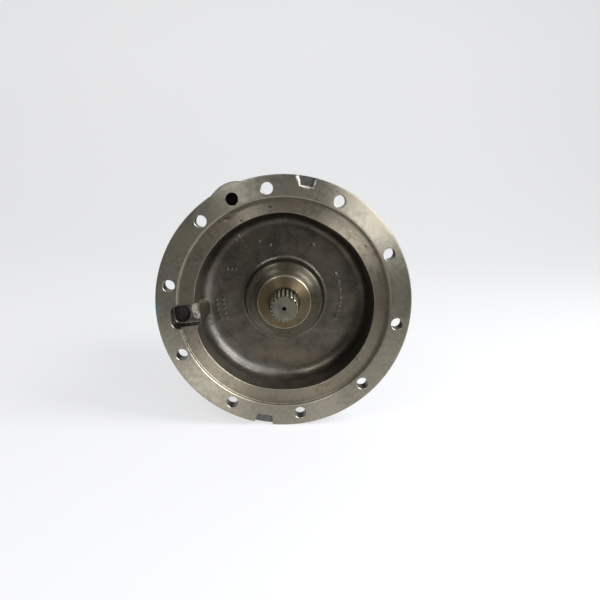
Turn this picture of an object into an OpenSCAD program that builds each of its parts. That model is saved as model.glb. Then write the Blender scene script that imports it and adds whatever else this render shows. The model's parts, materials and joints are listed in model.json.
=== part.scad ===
// Excavator swing motor: a fixed-displacement axial piston motor with a spring-applied parking brake.
// The origin is the centre of the mounting face. The output shaft points along -Y, depth runs along +Y,
// X is to the right and Z is up as seen from the output end.

/* [Mounting flange] */
// Diameter of the flange
flange_d = 300; // [296:1:312]
// Thickness of the flange
flange_t = 18; // [14:1:20]
// Number of fixing bolts
bolt_count = 10; // [8:1:12]
// Distance of the bolt circle from the rim
bolt_edge = 14.5; // [13.5:0.5:15.5]
// Clearance hole for a fixing bolt
bolt_hole_d = 14; // [11:0.5:15]
// Angle of the first bolt hole, counter-clockwise from +X
bolt_phase = 98; // [96:1:100]
// Diameter of the spot face behind a bolt hole
spot_d = 26; // [22:1:27]
// Width of the mounting face, from the female pilot to the rim
face_w = 25; // [24.5:0.5:28]
// Depth of the pilot and of the turned land inside it
pilot_depth = 6; // [4:0.5:8]
// Chamfer at the pilot's edge
pilot_chamfer = 1.5; // [0.5:0.1:2]
// Chamfer round the rim
rim_chamfer = 1; // [0.5:0.1:1.5]

/* [Gear cavity] */
// Width of the turned land between the pilot and the cavity's mouth
land_w = 19; // [18:0.5:21]
// Depth of the cavity's floor below the mounting face
cavity_depth = 47; // [45:1:49]
// Amount that the cast wall closes in towards the floor
cavity_draft = 3; // [1:0.5:4]
// Fillet between wall and floor
cavity_fillet = 18; // [12:1:20]
// Thickness of the cavity's wall
cavity_wall = 10; // [8:0.5:11]
// Thickness of the web between the cavity and the swash chamber
web_t = 21; // [20:1:24]
// Diameter of the central boss
boss_d = 94; // [88:1:98]
// Depth of the boss's front face below the mounting face
boss_depth = 28; // [26:1:30]
// Fillet at the foot of the boss
boss_fillet = 7; // [4:1:9]
// Rounding of the boss's front edge
boss_round = 2.5; // [1:0.5:3]
// Height of the raised lip round the boss's mouth
lip_h = 2.5; // [1:0.5:4]
// Width of the lip's flat top
lip_w = 4; // [3:0.5:5]

/* [Oil pocket] */
// Direction of the pocket, counter-clockwise from +X
pocket_angle = 186.5; // [185:0.5:188]
// Width of the milled pocket
pocket_w = 26; // [24:1:28]
// Reach of the pocket past the pilot's wall
pocket_reach = 9; // [7:0.5:10]
// Reach of the pocket's floor inwards past the cavity's wall
pocket_run = 2; // [1:0.5:4]
// Depth of the pocket's floor
pocket_depth = 22; // [20:1:24]
// Corner radius of the pocket
pocket_corner = 8; // [5:1:10]
// Diameter of the passage in the pocket's floor
passage_d = 21; // [18:1:22]
// Wall of the boss round the passage, behind the flange
passage_wall = 8.5; // [7:0.5:9]
// Depth of the passage's plug below the pocket's floor
plug_sink = 4; // [2:0.5:6]
// Reach of the cast column's foot inwards from the cavity's wall
column_reach = 16; // [12:1:20]
// Width of the cast column
column_w = 29; // [27:1:32]

/* [Gauge ear] */
// Direction of the ear, counter-clockwise from +X
ear_angle = 115.4; // [115:0.1:116.5]
// Diameter of the ear
ear_d = 36; // [34:1:38]
// Diameter of the passage in the ear
ear_hole_d = 14.4; // [12:0.2:15]
// Length of the ear's boss from the mounting face
ear_len = 36; // [32:1:40]

/* [Pry notches] */
// Direction of the first notch; the second is opposite
notch_angle = 80; // [79:1:81]
// Depth of a notch
notch_depth = 6; // [4:0.5:8]
// Radial length of a notch
notch_len = 14; // [10:1:15]
// Width of a notch at the rim
notch_w = 25; // [20:1:27]
// Width of a notch at its inner end
notch_root_w = 16; // [12:1:18]

/* [Drive shaft] */
// Number of spline teeth
spline_teeth = 19; // [17:1:23]
// Outer diameter of the output spline
spline_d = 32; // [30:0.5:33]
// Depth of a spline tooth
spline_tooth_h = 2.1; // [1.6:0.1:2.4]
// Reach of the shaft past the mounting face
shaft_reach = 18; // [10:1:30]
// Diameter of the seal and bearing seats
shaft_d = 40; // [39.5:0.1:40.5]
// Height of the collar that the bearing sits against
collar_h = 3; // [2:0.5:3.5]
// Diameter of the spline inside the cylinder block
inner_spline_d = 34; // [33:0.5:35]
// Diameter of the rear journal
journal_d = 25; // [24:0.5:26]
// Length of the rear journal
journal_len = 20; // [16:1:21]
// Diameter of the centre drilling
centre_drill_d = 4; // [3:0.5:6]

/* [Seal carrier] */
// Outer diameter of the carrier's nose
carrier_d = 65; // [64:0.5:66]
// Reach of the nose past the boss
carrier_reach = 13; // [8:1:16]
// Bore of the nose round the spline
carrier_bore = 37; // [36:0.5:38]
// Wall of the carrier round the oil seal
carrier_wall = 5; // [4.5:0.5:6]
// Width of the oil seal
seal_w = 8; // [6:1:9]

/* [Front bearing] */
// Thickness of each race
race_t = 4.5; // [4:0.1:5]
// Width of the bearing
bearing_w = 18; // [17:0.5:18]
// Diameter of a roller, with its running clearance
roller_d = 11; // [10:0.5:11.5]
// Number of rollers
roller_count = 14; // [12:1:15]

/* [Piston group] */
// Number of pistons
piston_count = 9; // [7:2:9]
// Diameter of a piston
piston_d = 22; // [20:0.5:22.5]
// Diameter of the circle that the pistons stand on
piston_circle_d = 76; // [75:0.5:77]
// Gap behind a piston at its inner dead centre
piston_end_gap = 3; // [2:0.5:6]
// Tilt of the shoe plate
swash_angle = 15; // [12:0.5:16]
// Least thickness of the swash block
swash_min_t = 5; // [4:0.5:7]
// Thickness of the shoe plate
shoe_plate_t = 5; // [4:0.5:6]
// Gap between neighbouring shoes
shoe_gap = 1; // [0.8:0.1:2]
// Outer diameter of the cylinder block
block_d = 112; // [110:1:113]
// Length of the cylinder block
block_len = 48; // [47:1:52]
// Thickness of the valve plate
valve_plate_t = 4; // [3:0.5:6]

/* [Parking brake] */
// Number of friction plates, with one more separator plate
friction_count = 3; // [3:1:3]
// Thickness of a friction plate
friction_t = 2.8; // [2.4:0.1:3]
// Thickness of a separator plate
separator_t = 2; // [1.6:0.1:2.2]
// Width of a friction plate's ring, from the cylinder block outwards
friction_w = 16.7; // [15:0.1:17.5]
// Reach of the separator plates past the friction plates
separator_rim = 2; // [2:0.5:3]
// Height of the separator plates' lugs, which reach to the brake piston's small bore
lug_h = 5; // [4.5:0.5:6]
// Step between the brake piston's small and large sealing radius
brake_step = 4; // [3:0.5:5]
// Number of brake springs
brake_spring_count = 8; // [6:1:8]
// Outer diameter of a brake spring
brake_spring_d = 11.2; // [10:0.1:11.6]

/* [Casing body] */
// Thickness of the casing's wall round the brake
body_wall = 12; // [10:0.5:12.5]
// Reach of the rear joint's square flange past the round body
rear_step = 2; // [1:0.5:4]
// Corner radius of the square flange
rear_corner = 30; // [24:1:34]
// Thickness of the square flange
rear_flange_t = 32; // [30:1:34]
// Distance of the four casing bolts from the square's sides
rear_bolt_inset = 22; // [20:0.5:24]
// Thread diameter of a casing bolt
rear_bolt_d = 16; // [14:1:16]

/* [Valve casing] */
// Length of the valve casing
valve_len = 52; // [52:1:58]
// Diameter of the main ports' threads
main_port_d = 26.4; // [24:0.2:27]
// Diameter of the make-up port's thread
makeup_port_d = 24; // [20:0.5:25]
// Diameter of the drain port's thread
drain_port_d = 21; // [18:0.5:22]
// Diameter of the gauge ports' threads
gauge_port_d = 13.2; // [10:0.2:14]
// Distance of the main ports from the middle
main_port_x = 40; // [39:0.5:42]

/* [Relief and make-up valves] */
// Thread diameter of a relief cartridge
relief_d = 27; // [25:0.5:28]
// Size across flats of a relief cartridge
relief_af = 32; // [30:1:34]
// Height of the relief valves above the middle
relief_z = 34; // [32:1:36]
// Thread diameter of a make-up plug
makeup_d = 27; // [25:0.5:28]
// Distance of the make-up valves below the middle
makeup_drop = 38; // [36:1:40]
// Opening travel of a make-up poppet
makeup_travel = 4; // [2:0.5:4]

/* [Brake release valve] */
// Height of the valve body off the casing
release_h = 34; // [30:1:38]
// Width of the valve body along the motor
release_w = 50; // [46:1:54]
// Length of the valve body
release_len = 60; // [58:1:66]
// Diameter of the spool
spool_d = 12; // [10:0.5:12.5]

/* [Fits] */
// Radial clearance of turned and sliding fits
fit_gap = 0.05; // [0.02:0.01:0.1]
// Gap between pieces that pass each other
free_gap = 0.3; // [0.2:0.05:0.4]
// Gap between brake plates at rest
plate_gap = 0.1; // [0.05:0.05:0.2]

/* [Hidden] */
$fn = 72;
hex_sides = 6;
// Overrun of a cut past a face
cut = 2;
// Steps in a quarter of a turned fillet
arc_steps = 9;
// Width across corners over width across flats
hex_share = 1 / cos(30);

flange_r = flange_d / 2;
bolt_r = flange_r - bolt_edge;
pilot_r = flange_r - face_w;
cavity_r = pilot_r - land_w;
floor_r = cavity_r - cavity_draft;
wall_r = cavity_r + cavity_wall;
boss_r = boss_d / 2;

// Stations along the motor, as depths behind the mounting face
chamber_y = cavity_depth + web_t;
bearing_y = chamber_y - bearing_w;
carrier_y = boss_depth - carrier_reach;
shaft_r = shaft_d / 2;
bearing_r = shaft_r + 2 * race_t + roller_d;
carrier_flange_t = 4;
carrier_flange_r = bearing_r - race_t / 2;
carrier_r = carrier_d / 2;
carrier_end_y = bearing_y;
nose_lip_t = 8;
seal_y = carrier_y + nose_lip_t;
seal_r = carrier_r - carrier_wall;
land_y = seal_y + seal_w / 5;
spline_r = spline_d / 2;
spline_root_r = spline_r - spline_tooth_h;

// Piston group, parked with the shoes square to the shaft and clear of the tilted plate
piston_r = piston_d / 2;
circle_r = piston_circle_d / 2;
shoe_r = circle_r * sin(180 / piston_count) - shoe_gap / 2;
block_r = block_d / 2;
friction_r = block_r + free_gap + friction_w;
separator_r = friction_r + separator_rim;
small_r = separator_r + lug_h;
large_r = small_r + brake_step;
shoulder_w = 7;
chamber_r = separator_r - shoulder_w;
swash_r = chamber_r - free_gap;
swash_bore_r = bearing_r - race_t / 2 - free_gap;
plate_rim = 1.5;
plate_r = circle_r + shoe_r + plate_rim;
plate_bore_r = circle_r - shoe_r + free_gap;
plate_sink = shoe_plate_t / 2;
seat_y = chamber_y + swash_min_t + swash_r * tan(swash_angle);
park_gap = 0.5;
shoe_y = seat_y + shoe_plate_t / cos(swash_angle) + (circle_r + shoe_r) * tan(swash_angle) + park_gap;
shoe_face_t = 4;
shoe_len = 13.5;
shoe_neck_r = 9.5;
ball_r = 7;
ball_y = shoe_y + shoe_len * 2 / 3;
piston_neck_r = 4.2;
piston_neck_len = 3.5;
barrel_y = shoe_y + shoe_len + piston_neck_len;
barrel_show = 2;
block_y = barrel_y + barrel_show;
block_end_y = block_y + block_len;
block_bottom_t = 7;
piston_len = barrel_show + block_len - block_bottom_t - piston_end_gap;
hub_len = 16;
pocket_wall = 3.5;
pocket_r = circle_r - piston_r - pocket_wall;
washer_t = 2;
ring_groove_w = 2;
ring_inset = 8;
inner_spline_r = inner_spline_d / 2;
inner_spline_teeth = 17;
joint_y = block_end_y + valve_plate_t;
valve_plate_rim = 12;
valve_plate_r = circle_r + valve_plate_rim;
kidney_w = 9;
kidney_half_angle = 65;
bush_r = pocket_r - park_gap;
bush_back_len = 6;
bush_back_y = ball_y + bush_back_len;
retainer_t = 4;
preload_pin_r = 2.3;
pin_circle_r = inner_spline_r + preload_pin_r * 3 / 2;
spring_y = block_y + hub_len + washer_t + free_gap;
spring_end_y = block_end_y - ring_inset - ring_groove_w - washer_t;

// Brake pack, from the casing's shoulder to the joint face
shoulder_inset = 2;
shoulder_y = block_y + shoulder_inset;
plate_pitch = separator_t + friction_t + 2 * plate_gap;
pack_y = shoulder_y + plate_gap;
pack_end_y = pack_y + friction_count * plate_pitch + separator_t;
brake_y = pack_end_y + plate_gap;
brake_small_len = 14;
brake_large_len = 14;
brake_step_y = brake_y + brake_small_len;
brake_end_y = brake_step_y + brake_large_len;
oil_gap = 2;
brake_bore_gap = 2;
brake_bore_r = block_r + brake_bore_gap;
seal_groove_w = 3.2;
seal_groove_h = 2.8;
spring_circle_r = (brake_bore_r + large_r) / 2;
spring_side_gap = 0.7;
spring_pocket_r = brake_spring_d / 2 + spring_side_gap;
spring_sink = 1;
spring_pocket_y = brake_y + brake_small_len - spring_sink;
lug_count = 4;
lug_w = 12;
groove_count = 8;
groove_w = 8;
groove_h = 3;

// Casing and valve casing
body_r = large_r + body_wall;
rear_half = body_r + rear_step;
bolt_at = rear_half - rear_bolt_inset;
head_r = rear_bolt_d * 3 / 4;
head_h = rear_bolt_d;
thread_len = 28;
counterbore_h = head_h + rim_chamfer;
ring_inset_r = 4;
ring_groove_r = large_r + ring_inset_r;
ring_section_r = 1.5;
main_inset = 22;
main_y = joint_y + main_inset;
relief_inset = 24;
relief_y = joint_y + relief_inset;
makeup_inset = 32;
makeup_y = joint_y + makeup_inset;
valve_end_y = joint_y + valve_len;
gauge_z = 60;
drain_y = (chamber_y + shoulder_y) / 2;
drain_angle = 210;
bleed_angle = 300;
side_port_r = body_r + body_wall / 2;
port_len = 18;
release_x = rear_half;
release_y = brake_step_y - release_w * 5 / 6;
release_mid_y = release_y + release_w / 2;
release_half = release_len / 2;
release_bolt_d = 8;
release_bolt_share = 0.37;
release_thread = 12;
release_pad_w = body_wall / 2;

// Colours of the finishes
iron = [0.34, 0.33, 0.29];
steel = [0.55, 0.54, 0.5];
bronze = [0.6, 0.47, 0.25];
rubber = [0.08, 0.08, 0.08];
zinc = [0.62, 0.6, 0.52];

// A cylinder or tube along +Y
module tube(y, len, r, bore = 0) {
    translate([0, y, 0]) rotate([-90, 0, 0]) difference() {
        cylinder(h = len, r = r);
        if (bore > 0) translate([0, 0, -cut]) cylinder(h = len + 2 * cut, r = bore);
    }
}

// A cone along +Y
module cone(y, len, r1, r2) {
    translate([0, y, 0]) rotate([-90, 0, 0]) cylinder(h = len, r1 = r1, r2 = r2);
}

// A hexagonal bar along +Y, by its width across flats
module hex_bar(y, len, af) {
    translate([0, y, 0]) rotate([-90, 0, 0]) cylinder(h = len, r = af / 2 * hex_share, $fn = hex_sides);
}

// A solid turned about the motor's axis from points of radius and depth
module turn(profile) {
    rotate([-90, 0, 0]) rotate_extrude() polygon(profile);
}

// An outline drawn in X and Z, carried along +Y
module slab(y, len) {
    translate([0, y + len, 0]) rotate([90, 0, 0]) linear_extrude(height = len) children();
}

// A place on a circle, counter-clockwise from +X as seen from the output end
module at(angle, r = 0) {
    rotate([0, -angle, 0]) translate([r, 0, 0]) children();
}

// A piece made along +Y, turned to point along +X
module along_x(x, y, z) {
    translate([x, y, z]) rotate([0, 0, -90]) children();
}

// A drilling between two points
module drill(p, q, r) {
    d = q - p;
    translate(p) rotate([0, acos(d[2] / norm(d)), atan2(d[1], d[0])]) cylinder(h = norm(d), r = r);
}

// The same piece on the right, or mirrored to the left
module side(right) {
    if (right) children();
    else mirror([1, 0, 0]) children();
}

// Points of a quarter round in a turned profile
function arc(r, y, radius, from, to) =
    [for (i = [0 : arc_steps]) let (a = from + (to - from) * i / arc_steps)
        [r + radius * cos(a), y + radius * sin(a)]];

// Outline of a splined bar with straight-flanked teeth
function spline_outline(teeth, r, h, grow = 0) =
    [for (i = [0 : teeth - 1], k = [[-0.36, -1], [-0.17, 0], [0.17, 0], [0.36, -1]])
        let (a = 360 * (i + k[0]) / teeth, q = r + k[1] * h + grow) [q * cos(a), q * sin(a)]];

module rounded_square(half, corner) {
    square([2 * half, 2 * (half - corner)], center = true);
    square([2 * (half - corner), 2 * half], center = true);
    for (x = [-1, 1], z = [-1, 1]) translate([x, z] * (half - corner)) circle(r = corner);
}

// A round-ended slot along a circle, cut between two angles
module kidney(mid_r, w, half_angle) {
    steps = 16;
    inner = mid_r - w / 2;
    outer = mid_r + w / 2;
    sweep = [for (i = [0 : steps]) half_angle * (2 * i / steps - 1)];
    polygon(concat([for (a = sweep) [outer * cos(a), outer * sin(a)]],
        [for (i = [steps : -1 : 0]) [inner * cos(sweep[i]), inner * sin(sweep[i])]]));
    for (a = [-half_angle, half_angle]) translate([mid_r * cos(a), mid_r * sin(a)]) circle(d = w);
}

// A coil spring along +Y: one unbroken tube whose ends lie flat
module coil(y, len, d, wire_d, turns) {
    rings = 8;
    sides = 6;
    n = turns * rings;
    mean_r = (d - wire_d) / 2;
    rise = len - wire_d;
    points = [for (i = [0 : n], j = [0 : sides - 1])
        let (a = 360 * i / rings, b = 360 * j / sides, q = mean_r + wire_d / 2 * cos(b))
            [q * cos(a), wire_d / 2 + rise * i / n + wire_d / 2 * sin(b), q * sin(a)]];
    walls = [for (i = [0 : n - 1], j = [0 : sides - 1]) let (k = (j + 1) % sides)
        each [[i * sides + j, (i + 1) * sides + j, (i + 1) * sides + k],
            [i * sides + j, (i + 1) * sides + k, i * sides + k]]];
    start = [for (j = [1 : sides - 2]) [0, j, j + 1]];
    end = [for (j = [1 : sides - 2]) [n * sides, n * sides + j + 1, n * sides + j]];
    translate([0, y, 0]) polyhedron(points, concat(walls, start, end));
    echo(str("spring gap ", rise / turns - wire_d));
}

// Main casing: one iron casting, turned and bored
casing_profile = concat(
    [[carrier_r + fit_gap, boss_depth - lip_h],
        [carrier_r + lip_w, boss_depth - lip_h],
        [carrier_r + lip_w + lip_h, boss_depth]],
    arc(boss_r - boss_round, boss_depth + boss_round, boss_round, -90, 0),
    arc(boss_r + boss_fillet, cavity_depth - boss_fillet, boss_fillet, 180, 90),
    arc(floor_r - cavity_fillet, cavity_depth - cavity_fillet, cavity_fillet, 90, 0),
    [[cavity_r, pilot_depth],
        [pilot_r, pilot_depth],
        [pilot_r, pilot_chamfer],
        [pilot_r + pilot_chamfer, 0],
        [flange_r - rim_chamfer, 0],
        [flange_r, rim_chamfer],
        [flange_r, flange_t - rim_chamfer],
        [flange_r - rim_chamfer, flange_t]],
    arc(wall_r + cavity_wall / 2, flange_t + cavity_wall / 2, cavity_wall / 2, -90, -180),
    arc(body_r, cavity_depth, wall_r - body_r, 0, 90),
    [[body_r, joint_y],
        [large_r + fit_gap, joint_y],
        [large_r + fit_gap, brake_step_y - oil_gap],
        [small_r + fit_gap, brake_step_y - oil_gap],
        [small_r + fit_gap, pack_end_y - separator_t],
        [separator_r + free_gap, pack_end_y - separator_t],
        [separator_r + free_gap, shoulder_y],
        [chamber_r, shoulder_y],
        [chamber_r, chamber_y],
        [bearing_r + fit_gap, chamber_y],
        [bearing_r + fit_gap, bearing_y],
        [carrier_flange_r + fit_gap, bearing_y],
        [carrier_flange_r + fit_gap, bearing_y - carrier_flange_t],
        [carrier_r + fit_gap, bearing_y - carrier_flange_t]]);

module pocket_outline() {
    start_r = floor_r - pocket_run;
    end_r = pilot_r + pocket_reach;
    rotate(pocket_angle) {
        translate([start_r, -pocket_w / 2]) square([end_r - pocket_corner - start_r, pocket_w]);
        translate([start_r, pocket_corner - pocket_w / 2])
            square([end_r - start_r, pocket_w - 2 * pocket_corner]);
        for (z = [-1, 1]) translate([end_r - pocket_corner, z * (pocket_w / 2 - pocket_corner)])
            circle(r = pocket_corner);
    }
}

// The cast column under the pocket's floor: its inner end slopes down to the cavity's floor
module column() {
    wall_at = cavity_r + cavity_wall / 2;
    at(pocket_angle) translate([0, 0, -column_w / 2]) linear_extrude(height = column_w)
        polygon([[floor_r - pocket_run, pocket_depth], [wall_at, pocket_depth],
            [wall_at, cavity_depth + cut], [floor_r - column_reach, cavity_depth + cut]]);
}

module side_port(angle, d) at(angle) {
    along_x(chamber_r - cut, drain_y, 0) tube(0, body_r, d / 4);
    along_x(side_port_r - port_len, drain_y, 0) tube(0, port_len + cut, d / 2);
}

module casing_bodies() {
    turn(casing_profile);
    column();
    at(ear_angle, bolt_r) tube(0, ear_len, ear_d / 2);
    at(pocket_angle, pilot_r)
        tube(flange_t - cut, passage_end_y - flange_t + cut, passage_d / 2 + passage_wall);
    difference() {
        slab(joint_y - rear_flange_t, rear_flange_t) rounded_square(rear_half, rear_corner);
        tube(joint_y - rear_flange_t - cut, rear_flange_t + 2 * cut, body_r - body_wall / 2);
    }
    for (a = [drain_angle, bleed_angle]) at(a) along_x(chamber_r + body_wall / 2, drain_y, 0)
        tube(0, side_port_r - chamber_r - body_wall / 2, drain_port_d / 2 + passage_wall);
    translate([body_r - release_pad_w, release_y - cut, -release_half - cut])
        cube([release_x - body_r + release_pad_w, joint_y - release_y + cut, release_len + 2 * cut]);
}

module main_casing() color(iron) difference() {
    casing_bodies();
    tube(-cut, pilot_depth + cut, pilot_r);
    for (i = [0 : bolt_count - 1]) at(bolt_phase + 360 * i / bolt_count, bolt_r) {
        tube(-cut, flange_t + 2 * cut, bolt_hole_d / 2);
        tube(flange_t - rim_chamfer, cut, spot_d / 2);
    }
    for (a = [notch_angle, notch_angle + 180]) slab(-cut, notch_depth + cut) rotate(a)
        polygon([[flange_r - notch_len, -notch_root_w / 2], [flange_r + notch_len, -notch_w / 2 - cut],
            [flange_r + notch_len, notch_w / 2 + cut], [flange_r - notch_len, notch_root_w / 2]]);
    slab(-cut, pocket_depth + cut) pocket_outline();
    at(pocket_angle, pilot_r) tube(0, cavity_depth + cut, passage_d / 2);
    at(ear_angle, bolt_r) tube(-cut, ear_len + 2 * cut, ear_hole_d / 2);
    for (x = [-1, 1], z = [-1, 1]) translate([x, 0, z] * bolt_at)
        tube(joint_y - thread_len, thread_len + cut, rear_bolt_d / 2 + fit_gap);
    side_port(drain_angle, drain_port_d);
    side_port(bleed_angle, gauge_port_d);
    along_x(large_r - cut, brake_step_y - oil_gap / 2, 0) tube(0, body_wall + 3 * cut, oil_gap);
    for (i = [0 : lug_count - 1]) at(360 * i / lug_count + 45) translate([0, shoulder_y, -lug_w / 2])
        cube([small_r, pack_end_y - shoulder_y, lug_w]);
    at(90, swash_r - 2 * swash_pin_r)
        tube(chamber_y - swash_pin_len / 2, swash_pin_len, swash_pin_r + fit_gap);
    for (y = [-1, 1], z = [-1, 1])
        along_x(release_x - release_thread - rim_chamfer, release_mid_y + y * release_w * release_bolt_share,
            z * release_len * release_bolt_share) tube(0, 3 * release_thread, release_bolt_d / 2 + fit_gap);
}
swash_pin_len = 12;
swash_pin_r = 4;
passage_end_y = cavity_depth - cut;

// Seal carrier: a turned steel ring with a flange behind, pushed in from the bearing side
module seal_carrier() color(iron) difference() {
    edge = rim_chamfer;
    lip_end = carrier_y + nose_lip_t;
    turn([[carrier_bore / 2, carrier_y],
        [carrier_r - edge, carrier_y],
        [carrier_r, carrier_y + edge],
        [carrier_r, bearing_y - carrier_flange_t],
        [carrier_flange_r, bearing_y - carrier_flange_t],
        [carrier_flange_r, carrier_end_y],
        [seal_r, carrier_end_y],
        [seal_r, lip_end],
        [carrier_bore / 2, lip_end]]);
    turn([[carrier_r - seal_groove_h, carrier_groove_y],
        [carrier_r + cut, carrier_groove_y],
        [carrier_r + cut, carrier_groove_y + seal_groove_w],
        [carrier_r - seal_groove_h, carrier_groove_y + seal_groove_w]]);
}
carrier_groove_y = boss_depth + 2 * carrier_flange_t;

// A rubber ring in a groove, by the groove's floor radius, its start and its width
module groove_ring(floor_at, y, w, h) {
    section = min(w, h + fit_gap) / 2 - fit_gap / 2;
    rotate([-90, 0, 0]) rotate_extrude() translate([floor_at + section, y + w / 2]) circle(r = section);
}

module seal_carrier_ring() color(rubber)
    groove_ring(carrier_r - seal_groove_h, carrier_groove_y, seal_groove_w, seal_groove_h);

module oil_seal() color(rubber) {
    lip_r = shaft_r + fit_gap;
    mid = (seal_r + lip_r) / 2;
    turn([[lip_r, seal_y + seal_w / 3],
        [mid, seal_y + seal_w / 4],
        [mid, seal_y],
        [seal_r - fit_gap, seal_y],
        [seal_r - fit_gap, seal_y + seal_w],
        [mid, seal_y + seal_w],
        [mid, seal_y + seal_w / 2],
        [lip_r, seal_y + seal_w * 2 / 3]]);
}

// Front bearing: a cylindrical roller bearing between the casing and the shaft
inner_race_r = shaft_r + race_t;
outer_race_r = bearing_r - race_t;
roller_r = (outer_race_r - inner_race_r) / 2 - fit_gap;
roller_at = (outer_race_r + inner_race_r) / 2;
race_lip = bearing_w / 6;
race_lip_h = roller_r / 4;

module front_bearing_outer_race() color(steel)
    turn([[outer_race_r, bearing_y],
        [bearing_r, bearing_y],
        [bearing_r, chamber_y],
        [outer_race_r, chamber_y]]);

module front_bearing_inner_race() color(steel)
    turn([[shaft_r + fit_gap, bearing_y],
        [inner_race_r + race_lip_h, bearing_y],
        [inner_race_r + race_lip_h, bearing_y + race_lip],
        [inner_race_r, bearing_y + race_lip],
        [inner_race_r, chamber_y - race_lip],
        [inner_race_r + race_lip_h, chamber_y - race_lip],
        [inner_race_r + race_lip_h, chamber_y],
        [shaft_r + fit_gap, chamber_y]]);

module front_bearing_rollers() color(steel)
    for (i = [0 : roller_count - 1]) at(360 * i / roller_count, roller_at)
        tube(bearing_y + race_lip + fit_gap, bearing_w - 2 * race_lip - 2 * fit_gap, roller_r);

module front_bearing_cage() color(bronze) difference() {
    tube(bearing_y + free_gap, bearing_w - 2 * free_gap, outer_race_r - 2 * free_gap,
        inner_race_r + race_lip_h + free_gap);
    for (i = [0 : roller_count - 1]) at(360 * i / roller_count, roller_at)
        tube(bearing_y + race_lip, bearing_w - 2 * race_lip, roller_r + fit_gap);
}

module shaft_snap_ring() color(steel) difference() {
    tube(bearing_y - washer_t, washer_t, shaft_r + washer_t, shaft_r - washer_t / 2 + fit_gap);
    translate([0, bearing_y - washer_t - cut, -washer_t])
        cube([shaft_d, washer_t + 2 * cut, 2 * washer_t]);
}

// Drive shaft: splined at both working ends, with seats for the seal and the two bearings
module drive_shaft() color(steel) {
    tooth_chamfer = spline_tooth_h;
    spline_end_y = land_y - cut;
    difference() {
        intersection() {
            slab(-shaft_reach, spline_end_y + shaft_reach)
                polygon(spline_outline(spline_teeth, spline_r, spline_tooth_h));
            turn([[0, -shaft_reach],
                [spline_root_r - tooth_chamfer / 2, -shaft_reach],
                [spline_r + cut, -shaft_reach + 2 * tooth_chamfer],
                [spline_r + cut, spline_end_y - tooth_chamfer],
                [spline_root_r, spline_end_y + cut],
                [0, spline_end_y + cut]]);
        }
        tube(-shaft_reach - cut, 3 * centre_drill_d + cut, centre_drill_d / 2);
    }
    groove_y = bearing_y - washer_t;
    turn([[0, spline_end_y - cut],
        [spline_root_r - fit_gap, spline_end_y - cut],
        [spline_root_r - fit_gap, land_y - rim_chamfer / 2],
        [shaft_r - rim_chamfer, land_y - rim_chamfer / 2],
        [shaft_r, land_y + rim_chamfer / 2],
        [shaft_r, groove_y],
        [shaft_r - washer_t / 2, groove_y],
        [shaft_r - washer_t / 2, bearing_y],
        [shaft_r, bearing_y],
        [shaft_r, chamber_y],
        [shaft_r + collar_h, chamber_y],
        [shaft_r + collar_h, chamber_y + 2 * collar_h],
        [inner_spline_r - spline_tooth_h, chamber_y + 2 * collar_h],
        [inner_spline_r - spline_tooth_h, block_y + hub_len],
        [journal_d / 2 + spline_tooth_h / 2, block_y + hub_len],
        [journal_d / 2 + spline_tooth_h / 2, joint_y],
        [journal_d / 2, joint_y],
        [journal_d / 2, joint_y + journal_len - rim_chamfer],
        [journal_d / 2 - rim_chamfer, joint_y + journal_len],
        [0, joint_y + journal_len]]);
    slab(shoe_y, block_y + hub_len - shoe_y)
        polygon(spline_outline(inner_spline_teeth, inner_spline_r, spline_tooth_h));
}

// Swash block: a steel wedge, pinned against the chamber's end
module tilted() {
    translate([0, seat_y, 0]) rotate([-swash_angle, 0, 0]) children();
}

module swash_block() color(steel) difference() {
    tube(chamber_y, swash_r, swash_r, swash_bore_r);
    tilted() translate([-2 * swash_r, plate_sink, -2 * swash_r])
        cube([4 * swash_r, 2 * swash_r, 4 * swash_r]);
    tilted() tube(0, shoe_plate_t + cut, plate_r + fit_gap);
    at(90, swash_r - 2 * swash_pin_r)
        tube(chamber_y - cut, swash_pin_len / 2 + cut, swash_pin_r + fit_gap);
}

module swash_pin() color(steel) at(90, swash_r - 2 * swash_pin_r)
    tube(chamber_y - swash_pin_len / 2 + fit_gap, swash_pin_len - 2 * fit_gap, swash_pin_r);

module shoe_plate() color(steel) tilted() tube(0, shoe_plate_t, plate_r, plate_bore_r + cut);

// Pistons and shoes: each ball turns in its shoe
module turn_outline() {
    rotate([-90, 0, 0]) rotate_extrude() children();
}

module half_disc(r) intersection() {
    translate([0, ball_y]) circle(r = r);
    translate([0, ball_y - r]) square([r, 2 * r]);
}

module shoe() turn_outline() difference() {
    polygon([[rim_chamfer, shoe_y + rim_chamfer],
        [shoe_neck_r - rim_chamfer, shoe_y + rim_chamfer],
        [shoe_neck_r - rim_chamfer, shoe_y],
        [shoe_r, shoe_y],
        [shoe_r, shoe_y + shoe_face_t],
        [shoe_neck_r, shoe_y + shoe_face_t],
        [shoe_neck_r, shoe_y + shoe_len],
        [rim_chamfer, shoe_y + shoe_len]]);
    half_disc(ball_r + fit_gap);
}

module piston() difference() {
    union() {
        turn_outline() half_disc(ball_r);
        turn([[0, ball_y],
            [piston_neck_r, ball_y],
            [piston_neck_r, barrel_y - piston_neck_r / 2],
            [piston_r - rim_chamfer, barrel_y],
            [piston_r, barrel_y + rim_chamfer],
            [piston_r, barrel_y + piston_len],
            [0, barrel_y + piston_len]]);
    }
    tube(barrel_y + piston_len / 3, piston_len, piston_r / 2);
}

module piston_shoes() color(bronze)
    for (i = [0 : piston_count - 1]) at(360 * i / piston_count, circle_r) shoe();

module pistons() color(steel)
    for (i = [0 : piston_count - 1]) at(360 * i / piston_count, circle_r) piston();

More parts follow.
